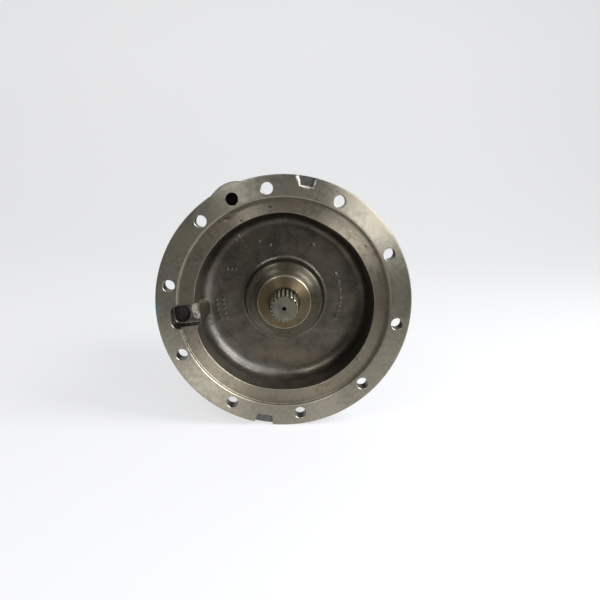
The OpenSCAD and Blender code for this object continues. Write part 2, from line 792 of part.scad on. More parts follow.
module retainer_plate() color(steel) difference() {
    turn_outline() difference() {
        translate([0, shoe_y + shoe_face_t + fit_gap])
            square([circle_r + shoe_neck_r + retainer_t / 2, retainer_t]);
        half_disc(bush_r + fit_gap);
    }
    for (i = [0 : piston_count - 1]) at(360 * i / piston_count, circle_r)
        tube(shoe_y, shoe_len, shoe_neck_r + free_gap);
}

module spherical_bush() color(steel) difference() {
    turn_outline() intersection() {
        half_disc(bush_r);
        translate([0, shoe_y + rim_chamfer]) square([bush_r, bush_back_y - shoe_y - rim_chamfer]);
    }
    slab(shoe_y, bush_back_y - shoe_y + cut)
        polygon(spline_outline(inner_spline_teeth, inner_spline_r, spline_tooth_h, fit_gap));
}

module preload_pins() color(steel) for (i = [0 : 2]) at(120 * i, pin_circle_r)
    tube(bush_back_y, block_y + hub_len + free_gap - bush_back_y, preload_pin_r);

module spring_washers() color(steel) for (y = [block_y + hub_len + free_gap, spring_end_y])
    tube(y, washer_t, pocket_r - free_gap, inner_spline_r + free_gap);

module centre_spring() color(steel)
    coil(spring_y, spring_end_y - spring_y, 2 * (pocket_r - 2 * free_gap), (pocket_r - inner_spline_r) / 2, 3);

module block_snap_ring() color(steel) difference() {
    y = block_end_y - ring_inset - ring_groove_w;
    tube(y, ring_groove_w, pocket_r + washer_t / 2 - fit_gap, pocket_r - washer_t);
    translate([0, y - cut, -washer_t]) cube([2 * pocket_r, ring_groove_w + 2 * cut, 2 * washer_t]);
}

module cylinder_block() color(steel) difference() {
    tube(block_y, block_len, block_r);
    slab(block_y - cut, hub_len + 2 * cut)
        polygon(spline_outline(inner_spline_teeth, inner_spline_r, spline_tooth_h, fit_gap));
    tube(block_y + hub_len, block_len, pocket_r);
    tube(block_end_y - ring_inset - ring_groove_w, ring_groove_w, pocket_r + washer_t / 2);
    for (i = [0 : 2]) at(120 * i, pin_circle_r) tube(block_y - cut, hub_len + 2 * cut, preload_pin_r + fit_gap);
    for (i = [0 : piston_count - 1]) at(360 * i / piston_count) {
        at(0, circle_r) tube(block_y - cut, block_len - block_bottom_t + cut, piston_r + fit_gap);
        slab(block_end_y - block_bottom_t - cut, block_bottom_t + 2 * cut)
            kidney(circle_r, kidney_w, 360 / piston_count / 4);
    }
    for (i = [0 : groove_count - 1]) at(360 * i / groove_count)
        translate([block_r - groove_h, block_y - cut, -groove_w / 2])
            cube([2 * groove_h, block_len * 2 / 3, groove_w]);
}

// Valve plate: flat steel disc with two kidney ports, pinned to the valve casing
plate_pin_r = 2;
plate_pin_len = 6;

module valve_plate() color(bronze) difference() {
    tube(block_end_y + plate_gap, valve_plate_t - plate_gap, valve_plate_r, journal_d / 2 + cut);
    for (a = [0, 180]) slab(block_end_y - cut, valve_plate_t + 2 * cut) rotate(a)
        kidney(circle_r, kidney_w, kidney_half_angle);
    at(90, valve_plate_r - cut * 2) tube(block_end_y + valve_plate_t / 2, valve_plate_t, plate_pin_r + fit_gap);
}

module valve_plate_pin() color(steel) at(90, valve_plate_r - cut * 2)
    tube(block_end_y + valve_plate_t / 2 + fit_gap, plate_pin_len - 2 * fit_gap, plate_pin_r);

// Rear needle bearing
needle_d = 3;
needle_count = 20;
needle_at = journal_d / 2 + fit_gap + needle_d / 2;
shell_r = needle_at + needle_d;
shell_bore_r = needle_at + needle_d / 2 + fit_gap;
needle_len = journal_len - 2 * needle_d;

module rear_bearing_shell() color(steel)
    tube(joint_y + needle_d / 2, journal_len - needle_d, shell_r, shell_bore_r);

module rear_bearing_needles() color(steel) for (i = [0 : needle_count - 1])
    at(360 * i / needle_count, needle_at) tube(joint_y + needle_d, needle_len, needle_d / 2);

// Brake plates: the friction plates key to the block, the separators to the casing
module friction_plate(i) color(bronze) {
    y = pack_y + separator_t + plate_gap + i * plate_pitch;
    tube(y, friction_t, friction_r, block_r + free_gap);
    for (k = [0 : groove_count - 1]) at(360 * k / groove_count)
        translate([block_r - groove_h + free_gap, y, free_gap - groove_w / 2])
            cube([groove_h + friction_t, friction_t, groove_w - 2 * free_gap]);
}
module friction_plate_1() friction_plate(0);
module friction_plate_2() friction_plate(1);
module friction_plate_3() friction_plate(2);

module separator_plate(i) color(steel) {
    y = pack_y + i * plate_pitch;
    tube(y, separator_t, separator_r, block_r + groove_h);
    for (k = [0 : lug_count - 1]) at(360 * k / lug_count + 45)
        translate([separator_r - cut, y, free_gap - lug_w / 2])
            cube([lug_h - free_gap + cut, separator_t, lug_w - 2 * free_gap]);
}
module separator_plate_1() separator_plate(0);
module separator_plate_2() separator_plate(1);
module separator_plate_3() separator_plate(2);
module separator_plate_4() separator_plate(3);

module brake_piston() color(steel) difference() {
    small_groove_y = brake_y + brake_small_len / 3;
    large_groove_y = brake_step_y + brake_large_len / 2;
    turn([[brake_bore_r, brake_y],
        [small_r, brake_y],
        [small_r, small_groove_y],
        [small_r - seal_groove_h, small_groove_y],
        [small_r - seal_groove_h, small_groove_y + seal_groove_w],
        [small_r, small_groove_y + seal_groove_w],
        [small_r, brake_step_y],
        [large_r, brake_step_y],
        [large_r, large_groove_y],
        [large_r - seal_groove_h, large_groove_y],
        [large_r - seal_groove_h, large_groove_y + seal_groove_w],
        [large_r, large_groove_y + seal_groove_w],
        [large_r, brake_end_y],
        [brake_bore_r, brake_end_y]]);
    for (i = [0 : brake_spring_count - 1]) at(360 * i / brake_spring_count, spring_circle_r)
        tube(spring_pocket_y, brake_large_len + cut, spring_pocket_r);
}

module brake_piston_rings() color(rubber) {
    groove_ring(small_r - seal_groove_h, brake_y + brake_small_len / 3, seal_groove_w, seal_groove_h);
    groove_ring(large_r - seal_groove_h, brake_step_y + brake_large_len / 2, seal_groove_w, seal_groove_h);
}

module brake_springs() color(steel) for (i = [0 : brake_spring_count - 1])
    at(360 * i / brake_spring_count, spring_circle_r)
        coil(spring_pocket_y + free_gap, joint_y - spring_pocket_y - 2 * free_gap, brake_spring_d,
            brake_spring_d / 5, 4);

module casing_joint_ring() color(rubber) rotate([-90, 0, 0]) rotate_extrude()
    translate([ring_groove_r, joint_y + ring_section_r]) circle(r = ring_section_r - fit_gap);

// Valve casing: iron block with the ports, the rear bearing and the relief and make-up valves
nose_share = 0.65;
relief_nose_gap = 16;
relief_nose_x = main_port_x + relief_nose_gap;
relief_thread_len = 28;
poppet_d = 11;
makeup_seat_gap = 4;
makeup_seat_x = relief_nose_x + makeup_seat_gap;
makeup_bore_r = 10;
makeup_poppet_len = 17;
makeup_plug_x = makeup_seat_x + makeup_poppet_len + makeup_travel + free_gap;
makeup_thread_len = rear_half - makeup_plug_x + free_gap;
makeup_head_h = 4;
gallery_r = 7;
main_drill_r = 10;

module side_drillings() {
    relief = [relief_nose_x, relief_y, relief_z];
    makeup = [makeup_seat_x, makeup_y, -makeup_drop];
    translate([main_port_x, main_y, gallery_r + main_drill_r])
        cylinder(h = rear_half, r = main_drill_r);
    translate([main_port_x, main_y, rear_half - port_len])
        cylinder(h = port_len + cut, r = main_port_d / 2);
    translate([main_port_x, main_y, rear_half - rim_chamfer])
        cylinder(h = rim_chamfer + cut, r = main_port_d / 2 + passage_wall * 2 / 3);
    along_x(rear_half - relief_thread_len, relief_y, relief_z)
        tube(0, relief_thread_len + cut, relief_d / 2 + fit_gap);
    along_x(relief_nose_x, relief_y, relief_z)
        tube(0, rear_half - relief_nose_x, relief_d / 2 * nose_share + fit_gap);
    along_x(main_port_x, relief_y, relief_z) tube(0, relief_nose_x - main_port_x + cut, poppet_d / 3);
    along_x(rear_half - makeup_thread_len, makeup_y, -makeup_drop)
        tube(0, makeup_thread_len + cut, makeup_d / 2 + fit_gap);
    along_x(makeup_seat_x, makeup_y, -makeup_drop) tube(0, rear_half - makeup_seat_x, makeup_bore_r);
    along_x(-cut, makeup_y, -makeup_drop) tube(0, makeup_seat_x + 2 * cut, gallery_r);
    drill(makeup + [makeup_bore_r, 0, 0], [circle_r * cos(40), joint_y + kidney_w, -circle_r * sin(40)],
        preload_pin_r);
    drill(relief + [poppet_d, 0, 0], makeup - [poppet_d * 3, 0, 0], preload_pin_r);
    translate([main_port_x, main_y, gauge_z]) tube(0, valve_len, gauge_port_d / 4);
    translate([main_port_x, 0, gauge_z]) tube(valve_end_y - port_len * 2 / 3, port_len, gauge_port_d / 2);
}

module valve_casing() color(iron) difference() {
    slab(joint_y, valve_len) rounded_square(rear_half, rear_corner);
    tube(joint_y - cut, journal_len + 2 * cut, shell_r + fit_gap);
    for (a = [0, 180]) slab(joint_y - cut, kidney_w * 3 / 2 + cut) rotate(a)
        kidney(circle_r, kidney_w, kidney_half_angle);
    side(true) side_drillings();
    side(false) side_drillings();
    translate([0, makeup_y, -makeup_drop]) tube(0, valve_len, gallery_r);
    translate([0, valve_end_y - port_len * 2 / 3, -makeup_drop]) tube(0, port_len, makeup_port_d / 2);
    for (x = [-1, 1], z = [-1, 1]) translate([x, 0, z] * bolt_at) {
        tube(joint_y - cut, valve_len + 2 * cut, rear_bolt_d / 2 + free_gap);
        tube(valve_end_y - counterbore_h, counterbore_h + cut, head_r + rim_chamfer);
    }
    tube(joint_y - cut, 2 * ring_section_r + cut, ring_groove_r + ring_section_r,
        ring_groove_r - ring_section_r);
    at(90, valve_plate_r - cut * 2) tube(joint_y - cut, plate_pin_len, plate_pin_r + fit_gap);
}

// A socket-head screw along -Y, by the depth of its head's seat
module socket_screw(seat, d, len) {
    difference() {
        union() {
            tube(seat, d, d * 3 / 4);
            tube(seat - len, len, d / 2);
        }
        hex_bar(seat + d / 2, d, d * 7 / 8);
    }
}

module casing_bolts() color(steel) for (x = [-1, 1], z = [-1, 1]) translate([x, 0, z] * bolt_at)
    socket_screw(valve_end_y - counterbore_h, rear_bolt_d, valve_len - counterbore_h + thread_len - cut);

// Relief valve: cartridge body, poppet on its seat, spring, adjuster and lock nut
relief_bore_r = 7.5;
relief_head_h = 12;
relief_seat_t = 4;
relief_seat_r = poppet_d * 0.29;
adjuster_sink = 6;
adjuster_show = 14;
adjuster_x = rear_half - adjuster_sink;
adjuster_end_x = rear_half + relief_head_h + adjuster_show;
poppet_x = relief_nose_x + relief_seat_t;

module relief_body() color(zinc) difference() {
    along_x(0, relief_y, relief_z) {
        tube(relief_nose_x + free_gap, rear_half - relief_nose_x, relief_d / 2 * nose_share);
        tube(rear_half - relief_thread_len + free_gap, relief_thread_len, relief_d / 2);
        hex_bar(rear_half, relief_head_h, relief_af);
    }
    along_x(0, relief_y, relief_z) {
        tube(poppet_x + free_gap, rear_half, relief_bore_r);
        tube(relief_nose_x - cut, relief_seat_t + 2 * cut, relief_seat_r);
    }
}
module relief_body_a() side(false) relief_body();
module relief_body_b() side(true) relief_body();

module relief_poppet() color(steel) along_x(0, relief_y, relief_z) {
    cone(poppet_x - relief_seat_t / 4, poppet_d / 2, relief_seat_r / 2, poppet_d / 2);
    tube(poppet_x - relief_seat_t / 4 + poppet_d / 2, poppet_d / 2, poppet_d / 2);
    tube(poppet_x + poppet_d / 2, poppet_d, poppet_d / 4);
}
module relief_poppet_a() side(false) relief_poppet();
module relief_poppet_b() side(true) relief_poppet();

module relief_spring() color(steel) along_x(0, relief_y, relief_z) {
    start = poppet_x - relief_seat_t / 4 + poppet_d + free_gap;
    coil(start, adjuster_x - start - free_gap, 2 * relief_bore_r - 4 * free_gap, poppet_d / 4, 4);
}
module relief_spring_a() side(false) relief_spring();
module relief_spring_b() side(true) relief_spring();

module relief_adjuster() color(zinc) along_x(0, relief_y, relief_z) difference() {
    tube(adjuster_x, adjuster_end_x - adjuster_x, relief_bore_r - fit_gap);
    hex_bar(adjuster_end_x - relief_bore_r, 2 * relief_bore_r, relief_bore_r);
}
module relief_adjuster_a() side(false) relief_adjuster();
module relief_adjuster_b() side(true) relief_adjuster();

module relief_locknuts() color(zinc) for (right = [true, false]) side(right)
    along_x(0, relief_y, relief_z) difference() {
        hex_bar(rear_half + relief_head_h, relief_bore_r, relief_af * 3 / 4);
        tube(rear_half + relief_head_h - cut, relief_bore_r + 2 * cut, relief_bore_r);
    }

// Make-up check valve: cup poppet on the gallery's mouth, spring and socket plug
module makeup_poppet() color(steel) along_x(0, makeup_y, -makeup_drop) difference() {
    union() {
        tube(makeup_seat_x + gallery_r / 2 + free_gap, makeup_poppet_len - gallery_r / 2,
            makeup_bore_r - fit_gap);
        cone(makeup_seat_x - gallery_r / 4 + free_gap, gallery_r * 3 / 4, gallery_r * 3 / 4, makeup_bore_r - fit_gap);
    }
    tube(makeup_seat_x + makeup_poppet_len / 3, makeup_poppet_len, makeup_bore_r * 0.7);
}
module makeup_poppet_a() side(false) makeup_poppet();
module makeup_poppet_b() side(true) makeup_poppet();

module makeup_spring() color(steel) along_x(0, makeup_y, -makeup_drop) {
    start = makeup_seat_x + makeup_poppet_len / 3 + free_gap;
    coil(start, rear_half - makeup_thread_len * 3 / 4 - start - free_gap, makeup_bore_r * 1.3,
        makeup_bore_r / 7, 4);
}
module makeup_spring_a() side(false) makeup_spring();
module makeup_spring_b() side(true) makeup_spring();

module makeup_plugs() color(zinc) for (right = [true, false]) side(right)
    along_x(0, makeup_y, -makeup_drop) difference() {
        union() {
            tube(makeup_plug_x, rear_half - makeup_plug_x, makeup_d / 2);
            tube(rear_half, makeup_head_h, makeup_d / 2 + makeup_head_h);
        }
        tube(makeup_plug_x - cut, rear_half - makeup_thread_len * 3 / 4 - makeup_plug_x + cut, makeup_bore_r * 0.7);
        hex_bar(rear_half - makeup_head_h, 3 * makeup_head_h, makeup_d / 2);
    }

// Brake release valve: iron block on the casing's right side, with a spool along Z
spool_r = spool_d / 2;
spool_x = release_x + release_h / 2;
spool_len = release_len * 5 / 12;
release_plug_wall = 2;
release_plug_d = spool_d + 2 * release_plug_wall;
release_plug_len = 10;
release_port_z = release_half - port_len / 2;
spool_z = release_port_z - rim_chamfer - spool_len;

module upright(z) {
    translate([spool_x, release_mid_y, z]) children();
}

module release_valve_body() color(iron) difference() {
    translate([release_x, release_y, -release_half]) cube([release_h, release_w, release_len]);
    upright(-release_half - cut)
        cylinder(h = release_port_z + release_half + 2 * cut, r = spool_r + fit_gap);
    upright(-release_half - cut) cylinder(h = release_plug_len + cut, r = release_plug_d / 2 + fit_gap);
    upright(release_port_z) cylinder(h = port_len, r = gauge_port_d / 2);
    along_x(spool_x, release_mid_y, 0) tube(0, release_h / 2 + cut, gauge_port_d / 4);
    along_x(release_x + release_h - port_len / 2, release_mid_y, 0)
        tube(0, port_len / 2 + cut, gauge_port_d / 2);
    along_x(release_x - cut, brake_step_y - oil_gap / 2, 0) tube(0, release_h / 2 + cut, oil_gap);
    translate([spool_x, release_mid_y, 0]) tube(0, brake_step_y - release_mid_y, oil_gap);
    for (y = [-1, 1], z = [-1, 1])
        along_x(release_x - cut, release_mid_y + y * release_w * release_bolt_share,
            z * release_len * release_bolt_share) tube(0, release_h + 2 * cut, release_bolt_d / 2 + free_gap);
}

module release_valve_spool() color(steel) upright(spool_z) difference() {
    cylinder(h = spool_len, r = spool_r);
    for (share = [0.2, 0.6]) translate([0, 0, spool_len * share]) difference() {
        cylinder(h = spool_len / 5, r = spool_r + cut);
        translate([0, 0, -cut]) cylinder(h = spool_len / 5 + 2 * cut, r = spool_r * 2 / 3);
    }
}

module release_valve_spring() color(steel) {
    low = release_plug_len - release_half + free_gap;
    upright(low) rotate([90, 0, 0])
        coil(0, spool_z - low - free_gap, 2 * spool_r - 2 * free_gap, spool_r / 4, 4);
}

module release_valve_plug() color(zinc) {
    head = release_plug_len * 2 / 3;
    upright(-release_half - head / 2) cylinder(h = release_plug_len + head / 2, r = release_plug_d / 2);
    upright(-release_half - head) cylinder(h = head, r = release_plug_d * 2 / 3, $fn = hex_sides);
}

module release_valve_bolts() color(steel) for (y = [-1, 1], z = [-1, 1])
    along_x(0, release_mid_y + y * release_w * release_bolt_share, z * release_len * release_bolt_share)
        socket_screw(release_x + release_h, release_bolt_d, release_h + release_thread);

// Screw plugs: two gauge ports, the bleed port, the oil pocket's passage and the ear's passage
module hex_plug(d, len) {
    tube(-len, len, d / 2);
    tube(0, d / 8, d * 0.7);
    hex_bar(d / 8, d / 3, d);
}

module socket_plug(d, len) difference() {
    tube(-len, len, d / 2);
    hex_bar(-len / 2, len, d / 2);
}

module port_plugs() color(zinc) {
    for (x = [-1, 1]) translate([x * main_port_x, valve_end_y, gauge_z])
        hex_plug(gauge_port_d - 2 * fit_gap, port_len / 2);
    at(bleed_angle) along_x(side_port_r, drain_y, 0)
        hex_plug(gauge_port_d - 2 * fit_gap, port_len * 2 / 3);
    at(pocket_angle, pilot_r) translate([0, passage_end_y, 0])
        socket_plug(passage_d - 2 * fit_gap, passage_end_y - pocket_depth - plug_sink);
    at(ear_angle, bolt_r) translate([0, ear_len, 0]) hex_plug(ear_hole_d - 2 * fit_gap, ear_len / 3);
}

main_casing();
seal_carrier();
seal_carrier_ring();
oil_seal();
front_bearing_outer_race();
front_bearing_cage();
front_bearing_rollers();
front_bearing_inner_race();
shaft_snap_ring();
drive_shaft();
swash_block();
swash_pin();
shoe_plate();
piston_shoes();
pistons();
retainer_plate();
spherical_bush();
preload_pins();
spring_washers();
centre_spring();
block_snap_ring();
cylinder_block();
valve_plate();
valve_plate_pin();
rear_bearing_shell();
rear_bearing_needles();
friction_plate_1();
friction_plate_2();
friction_plate_3();
separator_plate_1();
separator_plate_2();
separator_plate_3();
separator_plate_4();
brake_piston();
brake_piston_rings();
brake_springs();
casing_joint_ring();
valve_casing();
casing_bolts();
relief_body_a();
relief_body_b();
relief_poppet_a();
relief_poppet_b();
relief_spring_a();
relief_spring_b();
relief_adjuster_a();
relief_adjuster_b();
relief_locknuts();
makeup_poppet_a();
makeup_poppet_b();
makeup_spring_a();
makeup_spring_b();
makeup_plugs();
release_valve_body();
release_valve_spool();
release_valve_spring();
release_valve_plug();
release_valve_bolts();
port_plugs();
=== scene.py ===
import json
import math

import bmesh
import bpy
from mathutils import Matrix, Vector, noise


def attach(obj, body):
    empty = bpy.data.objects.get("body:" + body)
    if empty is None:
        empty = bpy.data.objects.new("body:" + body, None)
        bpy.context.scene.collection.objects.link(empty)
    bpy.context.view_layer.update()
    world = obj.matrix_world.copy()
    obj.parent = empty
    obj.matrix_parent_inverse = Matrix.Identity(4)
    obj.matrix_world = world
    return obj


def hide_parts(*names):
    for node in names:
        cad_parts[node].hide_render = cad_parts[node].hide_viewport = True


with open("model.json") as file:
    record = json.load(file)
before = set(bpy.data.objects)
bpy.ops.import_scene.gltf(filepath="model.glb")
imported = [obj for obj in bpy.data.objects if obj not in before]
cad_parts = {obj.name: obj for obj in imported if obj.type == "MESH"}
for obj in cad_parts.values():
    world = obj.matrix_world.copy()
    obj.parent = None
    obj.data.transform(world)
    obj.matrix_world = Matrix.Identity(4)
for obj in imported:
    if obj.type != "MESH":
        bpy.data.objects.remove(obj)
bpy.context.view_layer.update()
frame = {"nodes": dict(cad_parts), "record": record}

nodes = frame["nodes"]

# The view: the camera stands a little above the shaft, in front of the output end, and looks
# slightly down and to the left. Its lens and place were worked out from the bolt holes.
camera = bpy.data.objects.new("camera", bpy.data.cameras.new("camera"))
bpy.context.scene.collection.objects.link(camera)
camera.data.sensor_width = 36
camera.data.lens = 32.76
camera.data.clip_start = 0.01
camera.location = (0.0019, -0.6240, 0.1389)
camera.rotation_euler = (math.radians(78.01), 0, math.radians(-1.52))
bpy.context.scene.camera = camera
bpy.context.scene.view_settings.view_transform = "Standard"


# The studio: a plain pale floor that curves up into a backdrop, soft lamps at the right and a small
# one high on the left. The paper glows a little, as it would under its own lamps, and the dim sky
# is seen as pale as the paper.
class Wire:
    """A shader socket: arithmetic on it adds Math nodes, and node() adds any other node."""

    def __init__(self, tree, socket=None):
        self.tree = tree
        self.socket = socket

    def node(self, kind, settings, inputs, out=0):
        """A new node with these settings and inputs, as a Wire from one of its outputs."""
        made = self.tree.nodes.new("ShaderNode" + kind)
        for name, value in settings.items():
            setattr(made, name, value)
        for name, value in inputs.items():
            if isinstance(value, Wire):
                self.tree.links.new(value.socket, made.inputs[name])
            else:
                made.inputs[name].default_value = value
        return Wire(self.tree, made.outputs[out])

    def maths(self, operation, *values):
        """The result of a Math node."""
        return self.node("Math", {"operation": operation}, dict(enumerate(values)))

    def __add__(self, other):
        return self.maths("ADD", self, other)

    def __sub__(self, other):
        return self.maths("SUBTRACT", self, other)

    def __rsub__(self, other):
        return self.maths("SUBTRACT", other, self)

    def __mul__(self, other):
        return self.maths("MULTIPLY", self, other)

    __radd__ = __add__
    __rmul__ = __mul__

    def step(self, low, high):
        """0 below low and 1 above high, with an even rise between them."""
        return self.node("MapRange", {"clamp": True}, {0: self, 1: low, 2: high})

    def tint(self, first, second):
        """A colour that goes from first to second as this socket goes from 0 to 1."""
        first, second = (c if isinstance(c, Wire) else (*c, 1) for c in (first, second))
        return self.node("Mix", {"data_type": "RGBA"}, {0: self, 6: first, 7: second}, 2)


def finish(name, **fixed):
    """A new material with these sockets the same all over, and a Wire for the place on the piece."""
    material = bpy.data.materials.new(name)
    material.use_nodes = True
    shader = material.node_tree.nodes["Principled BSDF"]
    for socket, value in fixed.items():
        shader.inputs[socket.replace("_", " ")].default_value = value
    return material, Wire(material.node_tree).node("TexCoord", {}, {}, "Object")


def wear(material, **varying):
    """Links what varies over the surface to the shader's sockets."""
    shader = material.node_tree.nodes["Principled BSDF"]
    for socket, wire in varying.items():
        material.node_tree.links.new(wire.socket, shader.inputs[socket.replace("_", " ")])
    return material


def grain(place, size, detail=3.0, rough=0.55):
    """Noise with lumps of about this size in metres."""
    inputs = {"Vector": place, "Scale": 0.5 / size, "Detail": detail, "Roughness": rough}
    return place.node("TexNoise", {}, inputs)


def add_mesh(name, verts, faces):
    """A new object in the scene from points in metres and faces."""
    mesh = bpy.data.meshes.new(name)
    mesh.from_pydata([Vector(v) for v in verts], [], faces)
    piece = bpy.data.objects.new(name, mesh)
    bpy.context.scene.collection.objects.link(piece)
    return piece


floor_z = -0.1502
bend_y = 1.2
bend_r = 0.9
half_width = 8
sweep = [(-0.33, floor_z), (0.0, floor_z), (bend_y, floor_z)]
for step in range(1, 13):
    turn = math.radians(7.5 * step)
    sweep.append((bend_y + bend_r * math.sin(turn), floor_z + bend_r - bend_r * math.cos(turn)))
sweep.append((bend_y + bend_r, 3.2))
backdrop = add_mesh("backdrop", [(x, y, z) for y, z in sweep for x in (-half_width, half_width)],
                    [(2 * i, 2 * i + 1, 2 * i + 3, 2 * i + 2) for i in range(len(sweep) - 1)])
paper, place = finish("seamless_paper", Roughness=0.8, Emission_Strength=0.66)
wear(paper, Base_Color=grain(place, 0.4).tint((0.20, 0.202, 0.205), (0.23, 0.232, 0.235)),
     Emission_Color=grain(place, 0.5).tint((0.97, 0.98, 1.0), (1.0, 1.0, 1.0)))
backdrop.data.materials.append(paper)
backdrop.data.shade_smooth()

for name, where, size, power, colour in (
    ("key_lamp", (0.70, -1.05, 0.40), 0.60, 7.0, (0.96, 0.97, 1.03)),
    ("side_lamp", (1.12, -0.36, 0.88), 0.80, 34, (0.98, 0.98, 1.0)),
    ("high_lamp", (-0.50, -0.90, 1.00), 0.30, 5, (0.96, 0.98, 1.03)),
):
    lamp = bpy.data.objects.new(name, bpy.data.lights.new(name, "AREA"))
    lamp.data.size = size
    lamp.data.energy = power
    lamp.data.color = colour
    lamp.location = where
    lamp.rotation_euler = (-Vector(where)).to_track_quat("-Z", "Y").to_euler()
    bpy.context.scene.collection.objects.link(lamp)

# How much light the sky gives, and how much brighter the camera sees it.
sky_light = 0.115
sky_seen = 0.70
sky = bpy.data.worlds.new("sky")
bpy.context.scene.world = sky
sky.use_nodes = True
seen = Wire(sky.node_tree).node("LightPath", {}, {}, "Is Camera Ray")
air = sky.node_tree.nodes["Background"]
air.inputs["Color"].default_value = (0.97, 0.97, 0.975, 1)
sky.node_tree.links.new((seen * sky_seen + sky_light).socket, air.inputs["Strength"])


# Main casing: one iron casting. The flange's face, the pilot and the boss are turned and the
# pocket, notches and holes are milled and drilled; the cavity and the outside stay as cast.
# Its sizes are in mm, and its angles go counter-clockwise from +X as seen from the output end.
MM = 0.001
FLANGE_R = 150
PILOT_R = 125
LAND_Y = 6
BOLT_R = 135.5
BOLT_PHASE = 98
BOSS_R = 47
BOSS_Y = 28
FLOOR_Y = 47
POCKET_ANGLE = 186.5
POCKET_Y = 22
EAR_ANGLE = 115.4
NOTCH_ANGLE = 80
NOTCH_R = 139
NECK_R = 96
SIDE_Y = 99.67
DRAIN_ANGLE = 210
BLEED_ANGLE = 300
JOINT_Y = 181.35
REAR_HALF = 98


def arc(r, y, radius, start, end, steps=10):
    """Points of radius and depth along an arc, between two angles in degrees."""
    turns = [math.radians(start + (end - start) * i / steps) for i in range(steps + 1)]
    return [(r + radius * math.cos(a), y + radius * math.sin(a)) for a in turns]


def spread(points, step):
    """The same profile with no stretch longer than step, and no point twice."""
    out = [points[0]]
    for (r0, y0), (r1, y1) in zip(points, points[1:]):
        parts = math.ceil(math.hypot(r1 - r0, y1 - y0) / step - 1e-6)
        out += [(r0 + (r1 - r0) * i / parts, y0 + (y1 - y0) * i / parts) for i in range(1, parts + 1)]
    return out


def tidy(piece):
    """Welds what coincides, turns every face outwards and drops any shading that came with the mesh."""
    if "custom_normal" in piece.data.attributes:
        piece.data.attributes.remove(piece.data.attributes["custom_normal"])
    work = bmesh.new()
    work.from_mesh(piece.data)
    bmesh.ops.remove_doubles(work, verts=work.verts, dist=1e-7)
    bmesh.ops.dissolve_degenerate(work, edges=work.edges, dist=1e-8)
    bmesh.ops.recalc_face_normals(work, faces=work.faces)
    work.to_mesh(piece.data)
    work.free()
    return piece


def skinned(name, rings, ends):
    """A piece skinned over rings of points of X, Z and depth in mm, with as many points in each.

    Its own X is the motor's X, its own Y points down and its own Z runs into the motor. Its ends
    are "open", "capped", or "joined" where the last ring meets the first.
    """
    count = len(rings[0])
    verts = [(MM * x, -MM * z, MM * y) for ring in rings for x, z, y in ring]
    faces = []
    for i in range(len(rings) if ends == "joined" else len(rings) - 1):
        low = i * count
        high = (i + 1) % len(rings) * count
        faces += [(low + s, low + (s + 1) % count, high + (s + 1) % count, high + s) for s in range(count)]
    if ends == "capped":
        faces += [tuple(range(count)), tuple(range((len(rings) - 1) * count, len(rings) * count))]
    piece = tidy(add_mesh(name, verts, faces))
    piece.rotation_euler = (-math.pi / 2, 0, 0)
    return piece


def turned(name, profile, segments, closed=True, centre=(0, 0)):
    """A piece turned from points of radius and depth in mm, about an axis at X and Z."""
    x, z = centre
    turns = [2 * math.pi * s / segments for s in range(segments)]
    rings = [[(x + r * math.cos(a), z - r * math.sin(a), y) for a in turns] for r, y in profile]
    return skinned(name, rings, "joined" if closed else "open")


def prism(name, layers):
    """A piece lofted through outlines of X and Z in mm, each at its depth."""
    return skinned(name, [[(x, z, y) for x, z in outline] for y, outline in layers], "capped")


def spot(angle, r):
    """The X and Z of a place on a circle."""
    return r * math.cos(math.radians(angle)), r * math.sin(math.radians(angle))


def side_round(name, angle, steps):
    """A round piece on a line straight out of the casing's side, from distances out and radii."""
    cx, cz = spot(angle, 1)
    turns = [2 * math.pi * k / 64 for k in range(64)]
    rings = []
    for out, r in steps:
        circle = [(r * math.cos(a), r * math.sin(a)) for a in turns]
        rings.append([(cx * out - cz * side, cz * out + cx * side, SIDE_Y + deep) for side, deep in circle])
    return skinned(name, rings, "capped")


def turn_by(angle, outline):
    """An outline that was drawn along +X, turned to its angle."""
    c, s = spot(angle, 1)
    return [(a * c - b * s, a * s + b * c) for a, b in outline]


def smooth(piece, corner):
    """Shades the piece smoothly, but for the edges that turn by more than this angle in degrees."""
    piece.data.shade_smooth()
    piece.data.set_sharp_from_angle(angle=math.radians(corner))


def keep_result(piece):
    """Makes what the piece's modifiers show its own mesh."""
    bpy.context.view_layer.update()
    done = bpy.data.meshes.new_from_object(piece.evaluated_get(bpy.context.evaluated_depsgraph_get()))
    piece.modifiers.clear()
    piece.data = done


def combine(piece, operation, tools):
    """Joins the tools to the piece or cuts them out of it, and removes them."""
    group = bpy.data.collections.new("tools")
    for tool in tools:
        bpy.context.scene.collection.objects.unlink(tool)
        group.objects.link(tool)
    bpy.context.scene.collection.children.link(group)
    step = piece.modifiers.new("cut", "BOOLEAN")
    step.operation = operation
    step.operand_type = "COLLECTION"
    step.collection = group
    step.solver = "MANIFOLD"
    keep_result(piece)
    for tool in tools:
        bpy.data.objects.remove(tool)
    bpy.data.collections.remove(group)


